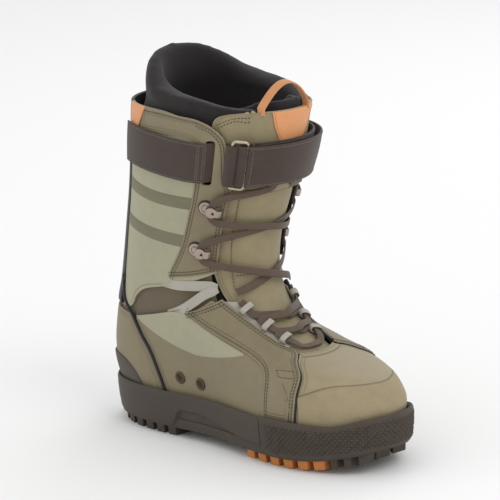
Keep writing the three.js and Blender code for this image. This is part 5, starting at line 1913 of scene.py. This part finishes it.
@dataclass
class PowerStrap:
    """The strap round the cuff: anchor with its keeper, ring, base run, fold and free tail."""

    low: float = 0.838
    high: float = 0.932
    thick: float = 1.7
    ring_u: float = 0.885
    ring_a: float = -0.232
    ring_lift: float = 3.4
    tall: float = 44
    wide: float = 15
    wire: float = 2.8

    def run(self, places: Sequence[tuple[float, float]], share: np.ndarray, across: np.ndarray) -> tuple:
        """Points on the strap.

        Args:
            places: Its path as places round the boot with lifts.
            share: How far along, from 0 to 1.
            across: How far across, from 0 to 1.

        Returns:
            Levels, places and lifts.
        """
        fine = np.linspace(0, len(places) - 1, 900)
        path = follow(places, fine)
        mid = LAST.bare(np.full(900, self.ring_u), path[:, 0])
        mid = mid + LAST.normal(np.full(900, self.ring_u), path[:, 0]) * path[:, 1:2]
        walk = walked(mid)
        at = np.interp(share * walk[-1], walk, fine)
        a, lift = np.interp(at, fine, path[:, 0]), np.interp(at, fine, path[:, 1])
        u = self.low + (self.high - self.low) * across + 0.022 * smooth(np.abs(a), 0.35, 0.75)
        return u, a, lift, walk[-1]

    def length(self, places: Sequence[tuple[float, float]]) -> float:
        """The path's length in millimetres."""
        return self.run(places, np.array([0.0]), np.array([0.0]))[3]

    def strip(self, name: str, places: Sequence[tuple[float, float]]) -> bpy.types.Object:
        """A strap of full width along a path.

        Args:
            name: The piece's name.
            places: Its path as places round the boot with lifts.

        Returns:
            The strap.
        """
        long = self.length(places)
        piece, s, q = Bench.grid(name, max(8, int(long / 1.8)), 20)
        u, a, lift, _ = self.run(places, s, q)
        bow = 0.35 * (1 - (2 * q - 1) ** 2)
        co = LAST.skin(u, a, lift + bow)
        Bench.set_points(piece, co)
        Bench.uv(piece, "UVMap", np.stack([s * long, q * 37], 1) * MM)
        Bench.modify(piece, "SOLIDIFY", thickness=self.thick * MM, offset=0)
        Bench.modify(piece, "BEVEL", width=0.55 * MM, segments=3, limit_method="ANGLE",
                     angle_limit=math.radians(60))
        Bench.edit(piece, lambda: bpy.ops.mesh.normals_make_consistent(inside=False))
        Bench.soften(piece, 50)
        return piece

    def thread(self, name: str, places: Sequence[tuple[float, float]], lines: Sequence[tuple],
               face: float = 1.0) -> bpy.types.Object:
        """Rows of thread on a strap.

        Args:
            name: The piece's name.
            places: The strap's path.
            lines: For each row its start and end, as shares along and across.
            face: 1 for the side that looks out where the path runs backwards, -1 for the other.

        Returns:
            The thread.
        """
        centres, frames = [], []
        for (s0, q0), (s1, q1) in lines:
            t = np.linspace(0, 1, 400)
            u, a, lift, _ = self.run(places, s0 + (s1 - s0) * t, q0 + (q1 - q0) * t)
            ahead = self.run(places, np.minimum(1, s0 + (s1 - s0) * t + 0.004), q0 + (q1 - q0) * t)
            here = LAST.bare(u, a) + LAST.normal(u, a) * lift[:, None]
            nxt = LAST.bare(ahead[0], ahead[1]) + LAST.normal(ahead[0], ahead[1]) * ahead[2][:, None]
            up = LAST.bare(u + 0.01, a) - LAST.bare(u - 0.01, a)
            out = np.cross(nxt - here, up)
            bad = np.linalg.norm(nxt - here, axis=1) < 1e-6
            out[bad] = LAST.normal(u[bad], a[bad]) * face
            out = unit(out) * face
            bow = 0.35 * (1 - (2 * (q0 + (q1 - q0) * t) - 1) ** 2)
            line = here + LAST.normal(u, a) * bow[:, None] + out * (self.thick / 2 + 0.05)
            row = ROW_STITCH.stops(line, out)
            centres.append(row[0])
            frames.append(row[1])
        return ROW_STITCH.lay(name, np.concatenate(centres), np.concatenate(frames))

    def build(self) -> None:
        """Make and dress the strap and its ring."""
        anchor = [(-0.745, 4.0), (-0.60, 3.6), (-0.45, 3.4), (-0.385, 3.4), (-0.366, 3.0), (-0.348, 0.9),
                  (-0.334, -1.0), (-0.31, -1.4), (-0.285, -1.1), (-0.272, 0.3), (-0.262, 1.4), (-0.252, 1.6),
                  (-0.2445, 2.6), (-0.2425, 4.8), (-0.2445, 7.0), (-0.252, 8.0), (-0.262, 7.9), (-0.272, 6.2),
                  (-0.279, 4.4)]
        piece = self.strip("strap_anchor_webbing", anchor)
        Bench.dress(piece, STRAP, Body.CUFF, ["strap_anchor"], "strap_webbing")
        lines = [((0.02, 0.05), (0.70, 0.05)), ((0.02, 0.95), (0.70, 0.95)),
                 ((0.70, 0.08), (0.70, 0.92)), ((0.688, 0.08), (0.688, 0.92)),
                 ((0.664, 0.08), (0.664, 0.92)), ((0.652, 0.08), (0.652, 0.92)),
                 ((0.952, 0.06), (0.952, 0.94)), ((0.975, 0.06), (0.975, 0.94))]
        Bench.dress(self.thread("strap_anchor_thread", anchor, lines), GREY_THREAD, Body.CUFF)
        m = np.array(place_on(self.ring_u, self.ring_a, self.ring_lift, (0.05, 0)))
        half = np.array([self.wide - self.wire, self.tall - self.wire]) / 2
        radius = 2.6
        turns = [np.linspace(k, k + 0.5, 10) * np.pi for k in (0, 0.5, 1, 1.5)]
        corners = [(1, 1), (-1, 1), (-1, -1), (1, -1)]
        outline = np.concatenate([np.stack([c[0] * (half[0] - radius) + radius * np.cos(t),
                                            c[1] * (half[1] - radius) + radius * np.sin(t),
                                            np.full(10, self.wire / 2)], 1) for c, t in zip(corners, turns)])
        loop = np.concatenate([outline, outline[:1]])
        centre = even(loop * MM, 1.0)[0][:-1] @ m[:3, :3].T + m[:3, 3]
        ring = Band("strap_ring_wire", self.wire, self.wire, square=2.4, around=16).sweep(
            centre, np.tile(m[:3, 2], (len(centre), 1)), closed=True)
        Bench.dress(ring, RING, Body.RING, ["strap_ring"], "ring_steel")
        base = [(0.745, 4.4), (0.55, 4.2), (0.40, 4.2), (0.30, 4.2), (0.20, 2.6), (0.10, 1.2), (-0.05, 1.0),
                (-0.18, 1.2)]
        piece = self.strip("strap_base_webbing", base)
        Bench.dress(piece, STRAP, Body.CUFF, ["strap_base"], "strap_webbing")
        lines = [((0.02, 0.05), (0.98, 0.05)), ((0.02, 0.95), (0.98, 0.95))]
        Bench.dress(self.thread("strap_base_thread", base, lines, -1), GREY_THREAD, Body.CUFF)
        fold = [(-0.186, 1.2), (-0.205, 1.2), (-0.222, 1.6), (-0.235, 3.2), (-0.237, 4.8), (-0.234, 6.6),
                (-0.222, 8.2), (-0.2065, 8.8)]
        Bench.dress(self.strip("strap_fold_webbing", fold), STRAP, Body.RING, ["strap_fold"], "strap_webbing")
        tail = [(-0.2035, 8.8), (-0.12, 8.6), (0.0, 8.5), (0.12, 8.6), (0.24, 9.0), (0.33, 9.0), (0.42, 9.0)]
        Bench.dress(self.strip("strap_tail_webbing", tail), STRAP, Body.TAIL, ["strap_tail"], "strap_webbing")
        lines = [((0.01, 0.05), (0.98, 0.05)), ((0.01, 0.95), (0.98, 0.95)), ((0.025, 0.08), (0.025, 0.92)),
                 ((0.975, 0.06), (0.975, 0.94))]
        Bench.dress(self.thread("strap_tail_thread", tail, lines), GREY_THREAD, Body.TAIL)


# ---- laces ------------------------------------------------------------------------------------------
def string(points: np.ndarray, per: int = 24) -> np.ndarray:
    """A smooth line through points, spaced by the root of their distances.

    Args:
        points: The places that it passes, one per row.
        per: Readings between neighbours.

    Returns:
        The fine line.
    """
    p = np.concatenate([[2 * points[0] - points[1]], points, [2 * points[-1] - points[-2]]])
    gap = np.maximum(np.linalg.norm(np.diff(p[:, :3], axis=0), axis=1) ** 0.5, 1e-4)[:, None]
    d0, d1, d2 = gap[:-2], gap[1:-1], gap[2:]
    x0, x1, x2, x3 = p[:-3], p[1:-2], p[2:-1], p[3:]
    m1 = ((x1 - x0) / d0 - (x2 - x0) / (d0 + d1) + (x2 - x1) / d1) * d1
    m2 = ((x2 - x1) / d1 - (x3 - x1) / (d1 + d2) + (x3 - x2) / d2) * d1
    f = np.linspace(0, 1, per, endpoint=False)[None, :, None]
    h = 2 * f**3 - 3 * f * f
    line = ((h + 1) * x1[:, None] - h * x2[:, None] + (f**3 - 2 * f * f + f) * m1[:, None]
            + (f**3 - f * f) * m2[:, None])
    return np.concatenate([line.reshape(-1, p.shape[1]), points[-1:]])


@dataclass
class Laces:
    """Flat laces: one through the loops, and one up each side round the hooks and under the strap."""

    width: float = 6.0
    thick: float = 1.4
    lifts: tuple[float, float] = (0.9, 5.2)

    def lace(self, name: str, route: Route) -> bpy.types.Object:
        """One flat lace along places with lifts."""
        u, a, lift = np.array(route).T
        both = np.concatenate([LAST.skin(u, a, lift), LAST.normal(u, a)], 1)
        line = string(both)
        centre, out = even(line[:, :3], 1.5, line[:, 3:])
        return Band(name, self.width, self.thick, square=3.4, around=16).sweep(centre, out)

    @staticmethod
    def through(i: int, side: int, step: int) -> Route:
        """Up through a loop, or down where step is negative."""
        u, a = Ankle().loops[i]
        return [(u + k * step * 0.019, side * (a + k * step * 0.015), 2.8) for k in (-1, 0, 1)]

    def lower_route(self) -> Route:
        """From the top medial loop down, across the bar and up the other side.

        Returns:
            Places with lifts.
        """
        under, over = self.lifts
        def cross(u: float, lift: float, way: int) -> Route:
            """Over the middle of the throat, from one side to the other."""
            return [(u - 0.004, -0.02 * way, lift), (u + 0.004, 0.02 * way, lift)]
        down = (self.through(2, -1, -1) + cross(0.484, under, -1)[::-1] + self.through(1, 1, -1)
                + cross(0.43, over, 1)[::-1] + self.through(0, -1, -1))
        bar = [(0.372, -0.06, 1.2), (0.37, 0.0, 1.2), (0.372, 0.06, 1.2)]
        up = (self.through(0, 1, 1) + cross(0.43, under, -1) + self.through(1, -1, 1)
              + cross(0.484, over, 1) + self.through(2, 1, 1))
        return down + bar + up

    @staticmethod
    def round_hook(u: float, a: float, side: int) -> Route:
        """Round the neck of a hook, from below to above."""
        lift = 6.4
        return [(u - 0.032, side * (a - 0.05), lift - 1), (u - 0.022, side * (a - 0.012), lift),
                (u, side * (a + 0.002), lift), (u + 0.022, side * (a - 0.012), lift),
                (u + 0.032, side * (a - 0.05), lift - 1)]

    def build(self) -> None:
        """Make and dress the three laces."""
        piece = self.lace("lace_through_loops", self.lower_route())
        Bench.dress(piece, CORD, Body.LOWER, ["lace_lower"], "lace_cord")
        under, over = self.lifts
        for side in Side:
            k = side.value
            first, second = (over, under) if side is Side.MEDIAL else (under, over)
            route = ([(0.556, k * -0.20, 3.2), (0.578, k * -0.1, first), (0.605, k * 0.05, first)]
                     + self.round_hook(*HOOKS[0][1:], k) + [(0.725, 0.0, second)]
                     + self.round_hook(*HOOKS[1][1:], -k)
                     + [(0.82, k * -0.06, 0.0), (0.845, k * -0.05, -1.7), (0.88, k * -0.03, -1.8)])
            piece = self.lace(f"lace_round_hooks_{side.word}", route)
            Bench.dress(piece, CORD, Body.ANKLE, [f"lace_upper_{side.word}"], "lace_cord")


# ---- studio -----------------------------------------------------------------------------------------
@dataclass
class Studio:
    """A pale floor, soft lights and the camera."""

    azimuth: float = 43.0
    elevation: float = 13.0
    roll: float = 2.8
    distance: float = 2.6
    lens: float = 231.55
    target: tuple[float, float, float] = (-0.0093, -0.0011, 0.158)

    def axes(self) -> tuple[Vector, Vector, Vector]:
        """The camera's right, up and back directions.

        Returns:
            The three directions.
        """
        a, e, r = (math.radians(v) for v in (self.azimuth, self.elevation, self.roll))
        back = Vector((math.sin(a) * math.cos(e), -math.cos(a) * math.cos(e), math.sin(e)))
        level = (-back).cross(Vector((0, 0, 1))).normalized()
        rise = level.cross(-back)
        right = math.cos(r) * level - math.sin(r) * rise
        up = math.cos(r) * rise + math.sin(r) * level
        return right, up, back

    def camera(self) -> None:
        """Set up the camera."""
        right, up, back = self.axes()
        data = bpy.data.cameras.new("camera")
        data.lens, data.sensor_width = self.lens, 36
        data.clip_end = 50
        camera = bpy.data.objects.new("camera", data)
        bpy.context.collection.objects.link(camera)
        aim = Vector(self.target) + right * 0.00162 - up * 0.00243
        matrix = Matrix((right, up, back)).transposed().to_4x4()
        matrix.translation = aim + back * self.distance
        camera.matrix_world = matrix
        bpy.context.scene.camera = camera

    def light(self, name: str, place: tuple, size: float, power: float, aim: tuple = (0, 0, 0.15)) -> None:
        """Hang one soft square light.

        Args:
            name: The light's name.
            place: Where it hangs.
            size: Its width.
            power: Its power in watts.
            aim: What it points at.
        """
        data = bpy.data.lights.new(name, "AREA")
        data.shape, data.size, data.energy = "SQUARE", size, power
        lamp = bpy.data.objects.new(name, data)
        bpy.context.collection.objects.link(lamp)
        lamp.location = place
        lamp.rotation_euler = (Vector(aim) - Vector(place)).to_track_quat("-Z", "Y").to_euler()

    def floor(self) -> None:
        """Lay the floor."""
        Bench.clear()
        bpy.ops.mesh.primitive_plane_add(size=14)
        floor = bpy.context.object
        floor.name = "studio_floor"
        material = bpy.data.materials.new("pale_floor")
        material.use_nodes = True
        shader = material.node_tree.nodes["Principled BSDF"]
        shader.inputs["Base Color"].default_value = (0.9, 0.9, 0.9, 1)
        shader.inputs["Roughness"].default_value = 0.9
        shader.inputs["Specular IOR Level"].default_value = 0.1
        floor.data.materials.append(material)

    def build(self) -> None:
        """Set everything up."""
        self.camera()
        self.floor()
        world = bpy.data.worlds.new("studio")
        world.use_nodes = True
        world.node_tree.nodes["Background"].inputs[0].default_value = (1, 1, 1, 1)
        world.node_tree.nodes["Background"].inputs[1].default_value = 0.90
        bpy.context.scene.world = world
        self.light("key", (1.9, -0.4, 2.1), 1.2, 16)
        self.light("left_fill", (-1.8, -1.4, 0.9), 1.6, 1.5)
        self.light("rim", (-0.6, 1.8, 1.6), 1.2, 6)
        bpy.context.scene.view_settings.view_transform = "Standard"


def dress_inner_parts() -> None:
    """Give the pieces hidden inside the boot their own finishes."""
    for name, finish in (("shank", PLASTIC), ("toe_puff", PLASTIC), ("heel_stiffener", PLASTIC),
                         ("midsole", FOAM), ("heel_cushion", GEL), ("lasting_board", BOARD)):
        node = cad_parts[name]
        node.data.materials.clear()
        node.data.materials.append(finish.material())


def main() -> None:
    """Build the boot in order."""
    logging.basicConfig(level=logging.INFO, format="%(message)s")
    Studio().build()
    for part in (Sole(), LowerShell(), Ankle(), Tongue(), Cuff(), Liner(), Hooks(), PowerStrap(), Laces()):
        part.build()
    dress_inner_parts()


if __name__ == "__main__":
    main()
